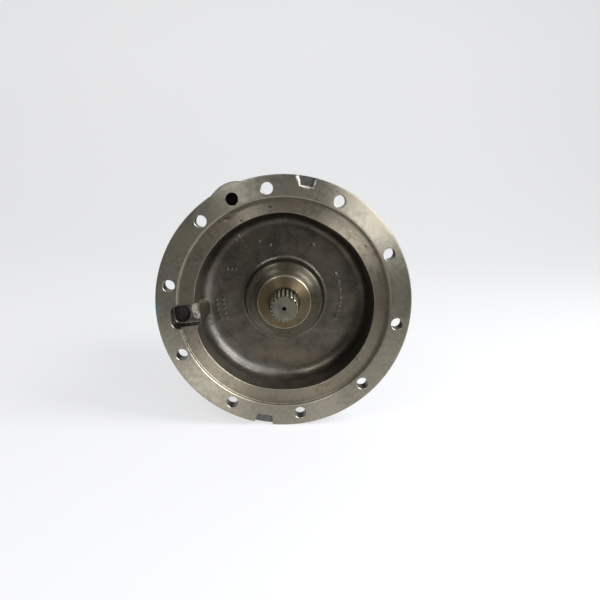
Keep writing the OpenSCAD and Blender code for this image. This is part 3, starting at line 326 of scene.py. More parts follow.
# The turned body, from the seal carrier's bore out over the boss, the cavity's floor, its round
# wall, the pilot, the face and the rim, then back along the neck and through the bearing bore.
lip = [(32.6, 27), (32.6, 26.4), (33.3, 25.4), (36.1, 25.3)] + arc(36.1, 26.5, 1.2, -90, -45, 5)[1:]
boss_edge = arc(44.3, 30.7, 2.7, -90, 0, 9)[1:]
profile = spread(lip + [(39.0, 27.9), (39.4, BOSS_Y), (44.3, BOSS_Y)] + boss_edge, 0.9)
profile += spread([(BOSS_R, 31.2)] + arc(54, 40, 7, 180, 90, 12), 1.0)
profile += spread([(54.6, FLOOR_Y), (88.5, FLOOR_Y)], 0.8)
profile += spread(arc(88.5, 32.5, 14.5, 90, 0, 24)[1:] + [(105.9, 6.8)], 1.1)
profile += arc(106.6, 6.6, 0.6, -180, -90, 4)[1:]
profile += spread([(107.4, LAND_Y), (124.4, LAND_Y)], 1.2)
profile += arc(124.4, 5.4, 0.6, 90, 0, 4)[1:]
profile += spread([(PILOT_R, 4.2), (PILOT_R, 1.0), (125.2, 0.6), (125.7, 0.08), (125.9, 0)], 1.4)
profile += spread([(128, 0), (149.2, 0), (149.6, 0.12), (149.9, 0.4), (FLANGE_R, 0.8)], 2.6)
profile += spread([(FLANGE_R, 2.0), (FLANGE_R, 16.6), (149.8, 17.4), (149.3, 17.9), (148.6, 18)], 2.6)
profile += spread([(147, 18)] + arc(121, 23, 5, -90, -180, 8) + arc(NECK_R, 47, 20, 0, 90, 14)
                  + [(NECK_R, 69.5), (NECK_R, JOINT_Y - 0.6), (95.4, JOINT_Y)], 2.4)
profile += [(84.05, JOINT_Y), (84.05, 160.55), (80.05, 160.55), (80.05, 146.45), (75.3, 146.45),
            (75.3, 131.35), (68, 131.35), (68, 68), (40.05, 68), (40.05, 50), (37.8, 50), (37.8, 46),
            (32.6, 46)]
casting = turned("main_casting", profile, 576)


def pocket(grow):
    """Outline of the milled oil pocket, let out or taken in by grow."""
    half = 13 + grow
    end = 134 + grow
    corner = 8 + grow
    ends = [(end - corner + corner * math.cos(a), side * (half - corner) + corner * math.sin(a))
            for side, first in ((1, 90), (-1, 0))
            for a in (math.radians(first - 90 * k / 8) for k in range(9))]
    return turn_by(POCKET_ANGLE, [(96, half)] + ends + [(96, -half)])


def column(y, inset=0.0):
    """Outline of the cast column under the pocket's mouth: it runs out softly onto the floor."""
    down = (y - POCKET_Y) / (FLOOR_Y - POCKET_Y)
    half = 13.4 - 2.2 * down - inset
    tip = 101.5 - 8.0 * down + inset
    corner = 7.0
    nose = [(tip + corner - corner * math.cos(a), side * (half - corner) + side * corner * math.sin(a))
            for side, turns in ((-1, range(9, -1, -1)), (1, range(10)))
            for a in (math.radians(10 * k) for k in turns)]
    flank = [tip + corner + (111 - tip - corner) * k / 9 for k in range(1, 10)]
    return turn_by(POCKET_ANGLE, nose + [(a, half) for a in flank] + [(a, -half) for a in reversed(flank)])


def ear_outline(grow):
    """Outline of the gauge ear: it swells gently out of the rim on its left and ends short on its right."""
    swell = ((124.6, 149.3), (123.0, 150.0), (121.6, 150.9), (120.2, 152.0), (118.7, 153.0), (117.0, 153.7),
             (115.2, 153.9), (113.5, 153.6), (112.0, 152.9), (110.7, 151.9), (109.6, 150.8), (108.7, 150.0),
             (107.8, 149.3))
    return [spot(a, r + grow) for a, r in swell] + [spot(107.8 + k * 2.4, 129.5) for k in range(8)]


def square_outline(half, corner):
    """Outline of the square rear flange with its round corners."""
    turns = [(sx, sz, math.radians(first + 7.5 * k))
             for sx, sz, first in ((1, 1, 0), (-1, 1, 90), (-1, -1, 180), (1, -1, 270)) for k in range(13)]
    return [(sx * (half - corner) + corner * math.cos(a), sz * (half - corner) + corner * math.sin(a))
            for sx, sz, a in turns]


def pad_outline(half, inset):
    """Outline of the flat pad that the release valve is bolted to, at the casing's right."""
    side = 97.9 - inset
    return [(84, -half), (96.9, -half), (side, -half + 1), (side, half - 1), (96.9, half), (84, half)]


def chipped(outline, amount):
    """The outline with eight points to a side, each knocked a little out of line."""
    out = []
    for (x0, z0), (x1, z1) in zip(outline, outline[1:] + outline[:1]):
        for k in range(8):
            x = x0 + (x1 - x0) * k / 8
            z = z0 + (z1 - z0) * k / 8
            out.append((x + amount * noise.noise(Vector((x, z, 3)) * 0.5),
                        z + amount * noise.noise(Vector((x, z, 8)) * 0.5)))
    return out


# What is cast onto the body: the ear, the bosses, the column, the rear flange and the valve's pad.
bolt_at = [spot(BOLT_PHASE + 36 * k, BOLT_R) for k in range(10)]
ear_at = spot(EAR_ANGLE, BOLT_R)
passage_at = spot(POCKET_ANGLE, PILOT_R)
stud_at = [(sx * 76, sz * 76) for sx in (-1, 1) for sz in (-1, 1)]
slope = [24 + 23.6 * k / 20 for k in range(21)]
side_ways = (spot(DRAIN_ANGLE, 1), spot(BLEED_ANGLE, 1))
side_boss = [(74, 19), (100.6, 19), (101.6, 18.6), (102, 17.6)]
combine(casting, "UNION", [
    prism("ear", [(0.02, ear_outline(-0.5)), (0.5, ear_outline(0)), (17.0, ear_outline(0)),
                  (17.9, ear_outline(-1.0))]),
    turned("ear_boss", [(0, 17), (18, 17), (18, 34.8), (17.2, 35.7), (16, 36), (0, 36)], 64, False, ear_at),
    turned("passage_boss", [(0, 15), (19, 15), (19, 43.5), (18.2, 44.7), (17, 45), (0, 45)], 64, False,
           passage_at),
    prism("column", [(21.7, column(22, 1.8)), (22.1, column(22, 0.9)), (23.0, column(23, 0.15))]
          + [(y, column(min(FLOOR_Y, y))) for y in slope]),
    prism("rear_flange", [(JOINT_Y - 32 + d, square_outline(REAR_HALF - s, 30 - s)) for d, s in
                          ((-4, 5), (-1.2, 3.2), (0, 0.8), (1.2, 0), (31.2, 0), (32, 0.8))]),
    prism("release_pad", [(118.9, pad_outline(31, 1.0)), (119.9, pad_outline(32, 0)),
                          (152, pad_outline(32, 0))]),
    side_round("drain_boss", DRAIN_ANGLE, side_boss),
    side_round("bleed_boss", BLEED_ANGLE, side_boss),
])

# What is drilled and milled out of it: the holes, the oil pocket, the two rim notches, the two ports.
bolt_hole = [(0, -2), (9.4, -2), (7, 0.4), (7, 16.9), (13, 16.9), (13, 20), (0, 20)]
stud_hole = [(0, 150), (8.05, 150), (8.05, 184), (0, 184)]
ear_hole = [(0, -2), (7.6, -2), (7.2, 0.2), (7.2, 38), (0, 38)]
passage = [(0, 21.6), (11.0, 21.6), (10.5, 22.3), (10.5, 46.9), (0, 46.9)]
cutters = [turned("bolt_hole", bolt_hole, 72, False, at) for at in bolt_at]
cutters += [turned("stud_hole", stud_hole, 40, False, at) for at in stud_at]
cutters.append(turned("ear_hole", ear_hole, 72, False, ear_at))
cutters.append(turned("passage", passage, 72, False, passage_at))
cutters.append(prism("pocket", [(-2, pocket(2.9)), (0.9, pocket(0)), (20.2, pocket(0)), (21.3, pocket(-0.5)),
                                (POCKET_Y, pocket(-1.6))]))
# Each notch has its angle, how far its mouth is chipped, the depth of that chipping, and its half
# widths: at the right and the left of its floor and at the rim.
for angle, chip, lead, right, left, mouth in ((NOTCH_ANGLE, 3.8, 1.3, 8.7, 5.7, 14.8),
                                              (NOTCH_ANGLE + 180, 1.3, 0.3, 9.4, 9.4, 13.6)):
    layers = []
    for y, grow, ragged in ((-2, chip, chip), (lead, 0, chip / 4), (5.4, 0, 0.4), (6, -0.5, 0.4)):
        inner = NOTCH_R - grow
        outline = [(inner, -right - grow), (164, -mouth - grow), (164, mouth + grow), (inner, left + grow)]
        layers.append((y, chipped(turn_by(angle, outline), ragged)))
    cutters.append(prism("notch", layers))
for angle, bore in ((DRAIN_ANGLE, 10.5), (BLEED_ANGLE, 6.6)):
    steps = [(74, bore / 2), (84, bore / 2), (84, bore), (101.2, bore), (104, bore + 2.8)]
    cutters.append(side_round("side_hole", angle, steps))
combine(casting, "DIFFERENCE", cutters)

# Each face of the casting gets the finish of the tool that made it, or stays raw. The names are
# the places of the casing's nine materials.
TURNED, LAND, BOSS, BORE, RAW, NOTCH, SIDE, MILLED, WORN_EDGE_AND_SHEEN = range(9)


def along_pocket(x, z):
    """How far out along the oil pocket a point lies, and how far to its side, in mm."""
    px, pz = spot(POCKET_ANGLE, 1)
    return x * px + z * pz, z * px - x * pz


def finish_of(x, z, y, facing):
    """The finish at a point of the casing; facing is 1 where the surface looks at the output end."""
    r = math.hypot(x, z)
    out, aside = along_pocket(x, z)
    hole = min(math.hypot(x - a, z - b) for a, b in bolt_at)
    ear = math.hypot(x - ear_at[0], z - ear_at[1])
    in_pocket = 101 < out < 138 and abs(aside) < 15.5
    if y < 0.05 and facing > 0.9 and r < 155:
        return TURNED
    # Worn corners, lighter also as a painted highlight: the mouths of the pilot, holes and notches, and the
    # step down to the land
    if 0.01 < y < 1.6 and 0.2 < facing < 0.95 and 124.5 < r < 148 and not in_pocket:
        return WORN_EDGE_AND_SHEEN
    if 5.2 < y < 5.99 and r > 124.2 and hole > 8 and not in_pocket:
        return WORN_EDGE_AND_SHEEN
    if 0 < y < 22.5 and in_pocket and not (5.5 < y < 6.5 and facing > 0.9):
        return MILLED
    if math.hypot(x - passage_at[0], z - passage_at[1]) < 11.2 and y < FLOOR_Y:
        return BORE
    # The corner from the land into the cavity, lighter as wear and as a painted highlight, then the land
    # itself
    if 6.003 < y < 6.8 and 0.15 < facing < 0.97 and 103 < r < 112:
        return WORN_EDGE_AND_SHEEN
    if 5.5 < y < 6.3 and 103 < r < PILOT_R and facing > 0.9:
        return LAND
    if hole < 8 and y < 18 or ear < 8 and y < 36 or r > 148 and y < 0:
        return BORE
    if 135 < r < 149.8 and 0.2 < y < 6.5:
        return NOTCH
    if y < 31.2 and r < BOSS_R:
        return BOSS
    if 6.9 < y < FLOOR_Y + 1 and r < 109.5:
        return RAW
    # Behind the flange: the bores and the rear joint are turned, and so are the tapped bosses' ends
    if r < 84.3 or y < 18.2 or y > JOINT_Y - 0.2:
        return SIDE
    if abs(y - SIDE_Y) < 22 and any(x * c + z * s > 101.5 for c, s in side_ways):
        return SIDE
    if x > 97.6 and abs(z) < 32 and y > 118:
        return SIDE
    return RAW


# Foundry tally marks, raised on the cavity's floor: a dashed row at the right, and pips at the
# left and above. Each has its X, Z, length, width and angle.
tally = [(*spot(angle, 70.5), 7.0, 2.6, angle + 90) for angle in (24, 15, 6, -3, -12, -21)]
tally += [(*spot(angle, r), 3.0, 3.0, 0) for angle in (181, 185.5, 190, 194.5, 199) for r in (76, 84.5)]
tally += [(x, z, 3.0, 3.0, 0) for x, z in
          ((-70, 36), (-65, 36), (-60, 36), (-30.6, 69.4), (-17, 65.6), (35.7, 65.5))]

# Dents that a spanner or a dropped part left on the land: X, Z, half length, half width, angle, depth.
dents = ((-63.5, 100.4, 5.0, 2.0, 20, 0.8), (-48.8, 97.6, 2.2, 1.4, 0, 0.4), (20, 110, 2.0, 1.2, 80, 0.3),
         (96.5, 66, 2.4, 1.0, 130, 0.35), (83, -78, 2.6, 1.1, 50, 0.35))

# The cavity's cast wall isn't quite round: how far its edge stands out in mm, every 30 degrees.
wall_drift = (1.0, -0.8, -1.8, 1.4, 0.6, 0.0, 0.0, 3.2, 2.6, 0.8, 2.2, 2.0)


def within(x, z, mark):
    """A point's place in a mark, along it and across it, as shares of the mark's own two sizes."""
    cx, cz, long, wide, turn = mark
    c, s = spot(turn, 1)
    return ((x - cx) * c + (z - cz) * s) / long, ((z - cz) * c - (x - cx) * s) / wide


def mark_height(x, z):
    """How far the tally marks stand up at a point of the floor, in mm."""
    height = 0.0
    for mark in tally:
        if abs(x - mark[0]) <= 7 and abs(z - mark[1]) <= 7:
            u, v = within(x, z, mark)
            height = max(height, 0.65 * math.exp(-4 * (u ** 4 * 5 + v * v)))
    return height


def drift_at(x, z):
    """How far the cavity's wall stands out in a point's direction, in mm."""
    turn = math.degrees(math.atan2(z, x)) % 360 / 30
    low = int(turn)
    share = (1 - math.cos(math.pi * (turn - low))) / 2
    return wall_drift[low % 12] * (1 - share) + wall_drift[(low + 1) % 12] * share


def place_of(vert):
    """A vertex's X, Z and depth in mm."""
    return vert.co.x / MM, -vert.co.y / MM, vert.co.z / MM


# The column and the side bosses melt into the casting, and the wall drifts out of round.
mesh = casting.data
mesh.materials.clear()
work = bmesh.new()
work.from_mesh(mesh)
blended = []
for vert in work.verts:
    x, z, y = place_of(vert)
    out, aside = along_pocket(x, z)
    on_column = 83 < out < 106.5 and abs(aside) < 22 and 22.2 < y < 47.6 and math.hypot(x, z) < 105.5
    on_boss = 78 < y < 121.5 and any(90 < x * c + z * s < 100.9 and abs(z * c - x * s) < 21.5
                                     for c, s in side_ways)
    if on_column or on_boss:
        blended.append(vert)
for _ in range(14):
    bmesh.ops.smooth_vert(work, verts=blended, factor=0.5, use_axis_x=True, use_axis_y=True, use_axis_z=True)
for vert in work.verts:
    x, z, y = place_of(vert)
    r = math.hypot(x, z)
    out, aside = along_pocket(x, z)
    if 88 < r < 118 and 5.9 < y < 47.2 and not (out > 0 and abs(aside) < 16):
        share = min(1.0, (r - 88) / 14) * min(1.0, (118 - r) / 10)
        vert.co.xy *= 1 + drift_at(x, z) * share / r
for face in work.faces:
    c = face.calc_center_median() / MM
    face.material_index = finish_of(c.x, -c.y, c.z, -face.normal.z)

# Raw faces get their lumps and the foundry marks, and the land gets its dents.
work.normal_update()
for vert in work.verts:
    kinds = {face.material_index for face in vert.link_faces}
    p = vert.co / MM
    x, z, y = p.x, -p.y, p.z
    r = math.hypot(x, z)
    if kinds == {RAW}:
        lump = 0.22 * noise.noise(p / 17) + 0.10 * noise.noise(p / 6.5 + Vector((9, 3, 1)))
        lump += 0.06 * noise.noise(p / 2.6)
        calm = min(1.0, abs(r - 106) / 6 + max(0.0, y - 12) / 6) if y < 18 else 1.0
        if y > 140:
            calm = min(1.0, max(0.0, (REAR_HALF - max(abs(x), abs(z))) / 3))
        vert.co += vert.normal * MM * lump * calm * 0.8
        if 46 < y < 48 and 54 < r < 87:
            vert.co.z -= MM * mark_height(x, z)
    elif kinds == {LAND}:
        for *mark, deep in dents:
            u, v = within(x, z, mark)
            vert.co.z += MM * deep * math.exp(-1.5 * (u * u + v * v))
work.to_mesh(mesh)
work.free()
smooth(casting, 38)


def relief(height, depth, strength=1.0, under=None):
    """A bump of this depth in metres, on top of another one if it is given."""
    inputs = {"Height": height, "Distance": depth, "Strength": strength}
    if under:
        inputs["Normal"] = under
    return height.node("Bump", {}, inputs)


def axis(place, letter):
    """One coordinate of a place or of a direction."""
    return place.node("SeparateXYZ", {}, {0: place}, letter)


def reach(place, first, second):
    """How far a place lies from an axis, from the two coordinates across it."""
    a = axis(place, first)
    b = axis(place, second)
    return a.maths("SQRT", a * a + b * b)


def lathe_rings(distance, detail=3.0, rough=0.5):
    """Noise that changes only with this distance, like the rings that a lathe tool leaves."""
    inputs = {"W": distance, "Detail": detail, "Roughness": rough}
    return distance.node("TexNoise", {"noise_dimensions": "1D"}, inputs)


def oval(place, x, z, long, wide, turn):
    """1 inside an oval of these half sizes in mm, about an X and Z on the casing's front, and 0 outside."""
    seat = place.node("Mapping", {"vector_type": "TEXTURE"}, {
        "Vector": place, "Location": (MM * x, -MM * z, 0), "Rotation": (0, 0, -math.radians(turn)),
        "Scale": (MM * long, MM * wide, 1)})
    return 1 - seat.node("VectorMath", {"operation": "LENGTH"}, {0: seat}, "Value").step(0.55, 1.2)


def marks_at(place, ovals):
    """1 inside any of the ovals, with ragged edges."""
    total = oval(place, *ovals[0])
    for one in ovals[1:]:
        total = total.maths("MAXIMUM", total, oval(place, *one))
    return (total * 1.25 - grain(place, 0.0016, 3) * 0.5).step(0.12, 0.55)


def turned_iron(name, tone, rough, spin=0.93, stains=None, nicks=None, stain_share=0.3, paint=None):
    """Turned iron: fine rings that stretch the lamps' light along the radius, with a mottled grey skin."""
    metal = 0.9
    around = 0.25 if spin else 0.0
    material, place = finish(name, Metallic=metal, Anisotropic=spin, Anisotropic_Rotation=around)
    r = reach(place, "X", "Y")
    lathe = lathe_rings(r * 1600, 3.0, 0.7)
    band = lathe_rings(r * 150, 2.0)
    cloud = grain(place, 0.016, 4)
    mottle = grain(place, 0.0026, 3)
    speck = grain(place, 0.0009, 2)
    dark = tuple(c * 0.72 for c in tone)
    light = tuple(c * 1.28 for c in tone)
    colour = (lathe * 0.12 + band * 0.12 + cloud * 0.36 + mottle * 0.40).step(0.37, 0.63).tint(dark, light)
    brown = (cloud.step(0.48, 0.64) * mottle.step(0.40, 0.62)) * stain_share
    colour = brown.tint(colour, (tone[0] * 0.62, tone[1] * 0.50, tone[2] * 0.38))
    colour = (speck.step(0.64, 0.74) * 0.45).tint(colour, tuple(c * 0.3 for c in tone))
    dull = brown * 0.25 + cloud * 0.16 + mottle * 0.16 + speck * 0.08
    if stains:
        mask = marks_at(place, stains)
        colour = (mask * 0.85).tint(colour, (tone[0] * 0.14, tone[1] * 0.11, tone[2] * 0.10))
        dull = dull + mask * 0.25
    if nicks:
        mask = marks_at(place, nicks)
        colour = (mask * 0.5).tint(colour, (0.72, 0.70, 0.64))
        dull = dull + mask * 0.15
        metal = metal - mask * 0.6
    if paint:
        coat = marks_at(place, paint)
        colour = coat.tint(colour, (0.035, 0.150, 0.155))
        metal = (1 - coat) * metal
    if nicks or paint:
        wear(material, Metallic=metal)
    bump = relief(lathe, 0.00002, 0.35, relief(mottle, 0.00014, 0.35, relief(speck, 0.00008, 0.4)))
    # The noise in dull averages 0.20, so rough is the mean. The finishes below do the same.
    return wear(material, Base_Color=colour, Roughness=dull + (rough - 0.20), Normal=bump)


def cast_iron(name, dark, mid, rust, gloss=0.42, scratches=None, painted_highlights=(), painted_shades=()):
    """Raw iron casting: sandy grain with pits and brown oxide in drifts, with painted highlights and painted
    shades where ovals are given.
    """
    material, place = finish(name, Metallic=0.86)
    sand = grain(place, 0.0009, 4, 0.65)
    pits = grain(place, 0.0024, 3)
    drift = grain(place, 0.026, 4)
    cloud = grain(place, 0.009, 3)
    colour = (sand * 0.45 + cloud * 0.55).step(0.36, 0.66).tint(dark, mid)
    oxide = drift.step(0.46, 0.60) * cloud.step(0.40, 0.60) * 0.55
    colour = oxide.tint(colour, rust)
    colour = (sand.step(0.60, 0.72) * 0.30).tint(colour, tuple(c * 1.8 for c in mid))
    # Painted highlight: each oval is lightened, more where the sand and cloud noise is high.
    for one in painted_highlights:
        colour = (oval(place, *one) * (sand * 0.36 + cloud * 0.2)).tint(colour, (0.31, 0.305, 0.285))
    # Painted shade: each oval is darkened nearly to black.
    for one in painted_shades:
        colour = (oval(place, *one) * 0.6).tint(colour, (0.030, 0.028, 0.024))
    if scratches:
        colour = (marks_at(place, scratches) * 0.7).tint(colour, (0.60, 0.58, 0.52))
    dull = sand * 0.22 + drift * 0.14
    bump = relief(sand, 0.00022, 0.5, relief(pits, 0.00035, 0.45))
    return wear(material, Base_Color=colour, Roughness=dull + (gloss - 0.18), Normal=bump)


def milled_iron(name, tone, rough, patch=None, chips=None, shade_facing_up=False):
    """Milled or drilled iron: short tool marks, bright where it is knocked, and if asked a painted shade,
    nearly black, on faces that look up.
    """
    metal = 0.85
    material, place = finish(name, Metallic=metal)
    strokes = place.node("Mapping", {}, {
        "Vector": place, "Rotation": (0.3, 0.2, 0.8), "Scale": (160, 1500, 500)})
    lines = place.node("TexNoise", {}, {"Vector": strokes, "Scale": 1.0, "Detail": 3.0})
    cloud = grain(place, 0.006, 4)
    dark = tuple(c * 0.55 for c in tone)
    light = tuple(c * 1.35 for c in tone)
    colour = (lines * 0.5 + cloud * 0.5).step(0.36, 0.64).tint(dark, light)
    dull = lines * 0.15 + cloud * 0.15
    if patch:
        mask = marks_at(place, patch) * grain(place, 0.0014, 4, 0.7).step(0.36, 0.56)
        colour = (mask * 0.85).tint(colour, (0.60, 0.53, 0.42))
        dull = dull + mask * 0.1
        wear(material, Metallic=metal - mask * 0.6)
    if shade_facing_up:
        # Painted shade: faces that look up are darkened nearly to black.
        skyward = axis(place.node("NewGeometry", {}, {}, "Normal"), "Z").step(0.35, 0.75)
        colour = (skyward * 0.85).tint(colour, (0.018, 0.016, 0.013))
    if chips:
        mask = marks_at(place, chips) * grain(place, 0.0035, 4).step(0.34, 0.5)
        colour = (mask * 0.7).tint(colour, (0.70, 0.69, 0.65))
        dull = dull + mask * 0.2
    bump = relief(lines, 0.00012, 0.5, relief(cloud, 0.0004, 0.35))
    return wear(material, Base_Color=colour, Roughness=dull + (rough - 0.15), Normal=bump)


# Where paint, use and oil have marked the casing, and where painted highlights and painted shades lie in the
# cavity:
# ovals with their X, Z, half length and half width in mm, and their angle.
paint_left = ((-149.9, 1.0, 15.5, 2.3, 92), (-148.0, -18.0, 5.0, 1.2, 80))
face_nicks = ((14.9, 144.2, 0.6, 3.6, 11), (25.0, 134.9, 6.0, 0.6, -10), (36.6, 141.0, 0.9, 3.6, -17))
face_stains = ((-93.0, -112.0, 1.4, 0.6, 30), (118.0, -75.0, 1.3, 0.6, 60), (60.0, 131.0, 1.2, 0.5, 20))
edge_nicks = ((15.6, 143.2, 1.2, 5.0, 11), (23.3, 136.2, 6.0, 0.8, -10), (35.6, 141.0, 1.0, 4.0, -17))
land_nicks = ((77.0, 86.0, 2.2, 0.45, 130), (83.5, 78.5, 1.5, 0.4, 120), (60.0, 97.5, 1.9, 0.4, 150))
land_stains = ((-64.6, 101.0, 4.0, 0.9, 20), (-63.0, 98.9, 3.6, 0.6, 20), (-48.8, 97.6, 1.8, 0.9, 0),
               (-15.5, 113.6, 3.2, 0.9, -10), (95.0, 68.5, 2.0, 0.7, 130), (87.5, -69.0, 2.4, 0.7, 60),
               (-101.5, -46.0, 1.4, 0.7, 100))
notch_chips = ((16.5, 143.0, 0.8, 4.4, 11), (30.0, 136.2, 2.6, 0.8, -10))
pocket_patch = ((-108.0, -7.5, 4.4, 7.5, 0), (-106.0, -15.0, 4.4, 6.5, 15))
floor_scratches = ((-54.0, 77.0, 3.2, 0.32, -62), (-50.2, 70.6, 3.0, 0.30, -64),
                   (-46.6, 64.5, 2.6, 0.32, -58), (-44.0, 78.0, 1.4, 0.25, -40),
                   (-57.5, 72.0, 1.6, 0.25, -55))
# The cavity's lower fillet is lightened as a painted highlight, where the lamps' light would shine.
fillet_painted_highlight = ((-93, 14, 20, 9, 99), (-88, -42, 22, 11, 115), (-72, -64, 24, 11, 133),
                (-50, -82, 24, 11, 150), (-20, -94, 24, 9, 169))
# The cavity's wall is darkened nearly to black as a painted shade.
wall_painted_shade = [(*spot(angle, 101), 36, 12, angle + 90) for angle in (-40, -10, 20, 50, 80, 110, 138)]

turned_face = turned_iron("turned_face", (0.345, 0.318, 0.250), 0.42, stains=face_stains, nicks=face_nicks,
                          paint=paint_left)
pilot_land = turned_iron("pilot_land", (0.300, 0.265, 0.202), 0.41, stains=land_stains, nicks=land_nicks,
                         stain_share=0.65)
boss_face = turned_iron("boss_face", (0.152, 0.138, 0.102), 0.42, 0.88, stain_share=0.6)
drilled_bore = milled_iron("drilled_bore", (0.13, 0.12, 0.10), 0.42)
raw_casting = cast_iron("raw_casting", (0.078, 0.070, 0.055), (0.172, 0.155, 0.120), (0.155, 0.118, 0.076),
                        0.36, floor_scratches, fillet_painted_highlight, wall_painted_shade)
notch_floor = milled_iron("milled_notch", (0.14, 0.136, 0.125), 0.46, chips=notch_chips)
turned_side = turned_iron("turned_side", (0.300, 0.275, 0.205), 0.42, 0.0, paint=paint_left)
pocket_floor = milled_iron("milled_pocket", (0.15, 0.142, 0.12), 0.40, patch=pocket_patch, shade_facing_up=True)
# Worn edges: a lighter tone for wear that is also a painted highlight along the corners.
worn_edge_and_sheen = turned_iron("worn_edge_and_sheen", (0.42, 0.39, 0.315), 0.36, 0.0, nicks=edge_nicks, paint=paint_left)
for material in (turned_face, pilot_land, boss_face, drilled_bore, raw_casting, notch_floor, turned_side,
                 pocket_floor, worn_edge_and_sheen):
    mesh.materials.append(material)
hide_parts("main_casing")
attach(casting, "housing")


# Seal carrier: a turned steel ring that holds the oil seal. It is pushed in from the bearing side
# and its nose stands proud of the boss. Oil and a little rust have dulled its face.
carrier_profile = [(18.5, 15.8), (18.9, 15.2), (19.3, 15.0)] + spread([(20, 15), (31.0, 15)], 1.5)
carrier_profile += [(31.4, 15.0), (31.8, 15.1), (32.2, 15.5), (32.35, 16.1), (32.4, 36), (29.7, 36),
                    (29.7, 39.2), (32.4, 39.2), (32.4, 46), (37.75, 46), (37.75, 50), (27.5, 50), (27.5, 23),
                    (18.5, 23)]
carrier = turned("seal_carrier_nose", carrier_profile, 256)
smooth(carrier, 38)
carrier_steel, place = finish("carrier_steel", Metallic=0.9, Anisotropic=0.85, Anisotropic_Rotation=0.25)
r = reach(place, "X", "Y")
rings = lathe_rings(r * 1400)
blotch = grain(place, 0.006, 4)
speck = grain(place, 0.0011, 3)
rust_low = (axis(place, "Y") * 1000).step(10, 30) * grain(place, 0.005, 3).step(0.35, 0.6)
patches = blotch.step(0.42, 0.60) * 0.7
brown = patches.maths("MAXIMUM", patches, rust_low) * (r * 1000).step(31.5, 30.6)
colour = (rings * 0.4 + blotch * 0.6).step(0.35, 0.65).tint((0.17, 0.14, 0.088), (0.30, 0.25, 0.16))
colour = brown.tint(colour, (0.185, 0.125, 0.060))
# Painted highlight: a bright ring along the nose's outer edge.
colour = ((r * 1000).step(31.5, 31.9) * 0.85).tint(colour, (0.62, 0.59, 0.48))
colour = (speck.step(0.62, 0.7) * 0.6).tint(colour, (0.05, 0.042, 0.03))
wear(carrier_steel, Base_Color=colour, Roughness=blotch * 0.22 + speck * 0.12 + 0.24,
     Normal=relief(rings, 0.00003, 0.4, relief(speck, 0.00010, 0.5)))
carrier.data.materials.append(carrier_steel)
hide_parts("seal_carrier")
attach(carrier, "housing")


# Drive shaft: hardened steel. Its end is faced and its nineteen spline teeth are hobbed; their
# tips and chamfered ends carry a painted highlight, and the gaps between them a painted shade, nearly black.
TEETH = 19
TIP_R = 16
ROOT_R = 13.9


def teeth_outline(tip):
    """Outline of the spline out to this radius: straight flanks, a little rounded at tips and roots."""
    tooth = ((-0.40, ROOT_R), (-0.34, ROOT_R + 0.12), (-0.20, tip - 0.3), (-0.15, tip), (0, tip), (0.15, tip),
             (0.20, tip - 0.3), (0.34, ROOT_R + 0.12), (0.40, ROOT_R))
    return [spot(360 * (place + share) / TEETH, r) for place in range(TEETH) for share, r in tooth]


shaft = bpy.data.objects.new("output_shaft", nodes["drive_shaft"].data.copy())
bpy.context.scene.collection.objects.link(shaft)
tidy(shaft)
combine(shaft, "UNION", [
    prism("spline_nose", [(-18, teeth_outline(TIP_R - 0.5)), (-17.6, teeth_outline(TIP_R - 0.1)),
                          (-17.4, teeth_outline(TIP_R)), (-9, teeth_outline(TIP_R))])])
combine(shaft, "DIFFERENCE", [
    turned("centre_drill", [(0, -20), (3.6, -20), (2.2, -17.6), (2, -17.4), (2, -8), (0, -6.8)], 40, False)])
shaft.data.materials.clear()
smooth(shaft, 30)
spline_steel, place = finish("spline_steel", Metallic=0.92)
r = reach(place, "X", "Z") * 1000
end_face = (0 - axis(place.node("NewGeometry", {}, {}, "Normal"), "Y")).step(0.9, 0.98)
rings = lathe_rings(r * 1.1)
blotch = grain(place, 0.004, 4)
speck = grain(place, 0.0008, 3)
# Painted shade at the roots of the teeth, rising to a painted highlight at their tips.
tooth = r.step(14.2, 15.7)
colour = (tooth * 0.75 + blotch * 0.25).step(0.12, 0.85).tint((0.022, 0.020, 0.017), (0.62, 0.58, 0.48))
faced = (rings * 0.3 + blotch * 0.7).step(0.36, 0.64).tint((0.20, 0.195, 0.145), (0.275, 0.265, 0.20))
colour = end_face.tint(colour, faced)
colour = (speck.step(0.62, 0.72) * 0.5).tint(colour, (0.06, 0.055, 0.045))
wear(spline_steel, Base_Color=colour, Roughness=blotch * 0.2 + speck * 0.1 + 0.24,
     Normal=relief(blotch, 0.0001, 0.3, relief(speck, 0.00006, 0.4)))
shaft.data.materials.append(spline_steel)
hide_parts("drive_shaft")
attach(shaft, "rotor")


# Plug of the oil pocket's passage: a black screw plug whose chamfered face shows at the bottom of the
# round hole. Only its face is a piece here; its threaded body is the CAD node behind it.
def oiled(name, dark, light, rough, metallic, size, depth=0.00005):
    """An oiled, plated or moulded finish: cloudy tone at two scales over a fine skin."""
    material, place = finish(name, Metallic=metallic)
    cloud = grain(place, size * 6, 3)
    fine = grain(place, size, 3)
    colour = (cloud * 0.6 + fine * 0.4).step(0.36, 0.66).tint(dark, light)
    return wear(material, Base_Color=colour, Roughness=cloud * 0.2 + fine * 0.12 + (rough - 0.16),
                Normal=relief(fine, depth, 0.5))


plug_profile = [(0, 25.1), (8.3, 25.1), (8.9, 25.2), (9.4, 25.5), (9.6, 26.0), (9.6, 27.5), (0, 27.5)]
plug_face = turned("passage_plug_face", plug_profile, 64, False, passage_at)
smooth(plug_face, 38)
black_steel = oiled("blackened_steel", (0.028, 0.027, 0.024), (0.075, 0.072, 0.064), 0.42, 0.6, 0.0014)
plug_face.data.materials.append(black_steel)
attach(plug_face, "housing")


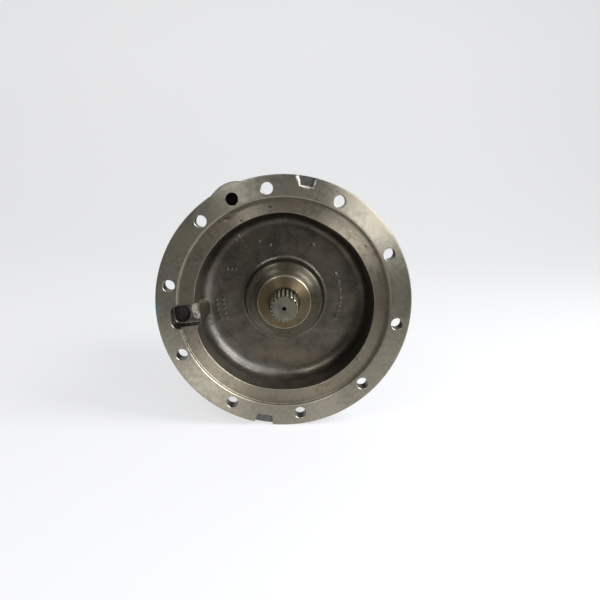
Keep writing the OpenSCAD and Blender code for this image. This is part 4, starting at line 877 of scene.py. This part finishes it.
# The rear housings, fasteners and plugs, and everything that the closed casing hides: each keeps its
# CAD shape and gets the finish a fitter would see on it, and what shows also has its edges eased.
ground_steel = oiled("ground_steel", (0.36, 0.35, 0.32), (0.56, 0.55, 0.51), 0.28, 0.95, 0.0015)
bronze = oiled("bearing_bronze", (0.46, 0.28, 0.11), (0.66, 0.43, 0.19), 0.32, 0.95, 0.002)
nitrile = oiled("black_nitrile", (0.010, 0.010, 0.010), (0.024, 0.023, 0.022), 0.55, 0.0, 0.001, 0.0001)
zinc = oiled("zinc_plate", (0.46, 0.44, 0.36), (0.70, 0.67, 0.56), 0.30, 0.9, 0.0012)
rear_cast = cast_iron("rear_casting", (0.085, 0.077, 0.063), (0.155, 0.140, 0.112), (0.135, 0.090, 0.052))
slots = {entry["node"]: entry["material_slot"] for entry in frame["record"]["subparts"]}


def eased(name, width, look):
    """Adds a piece with the shape of its CAD node and its sharp edges broken by this width in mm."""
    piece = bpy.data.objects.new(name + "_eased", nodes[name].data.copy())
    bpy.context.scene.collection.objects.link(piece)
    tidy(piece)
    work = bmesh.new()
    work.from_mesh(piece.data)
    bmesh.ops.dissolve_limit(work, angle_limit=math.radians(0.5), verts=work.verts, edges=work.edges)
    work.to_mesh(piece.data)
    work.free()
    step = piece.modifiers.new("ease", "BEVEL")
    step.limit_method = "ANGLE"
    step.angle_limit = math.radians(40)
    step.width = MM * width
    step.segments = 2
    step.use_clamp_overlap = False
    keep_result(piece)
    piece.data.materials.clear()
    piece.data.materials.append(look)
    smooth(piece, 32)
    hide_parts(name)
    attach(piece, "housing")


for name, width, look in (
    ("valve_casing", 0.8, rear_cast), ("casing_bolts", 0.35, black_steel), ("port_plugs", 0.3, black_steel),
    ("relief_body_a", 0.35, zinc), ("relief_body_b", 0.35, zinc), ("makeup_plugs", 0.35, zinc),
    ("release_valve_body", 0.6, rear_cast), ("release_valve_bolts", 0.25, black_steel),
    ("release_valve_plug", 0.3, zinc), ("relief_locknuts", 0.25, zinc),
):
    eased(name, width, look)
looks = {"iron": rear_cast, "steel": ground_steel, "bronze": bronze, "rubber": nitrile, "zinc": zinc}
for name, piece in nodes.items():
    piece.data.materials.clear()
    piece.data.materials.append(looks[slots[name]])
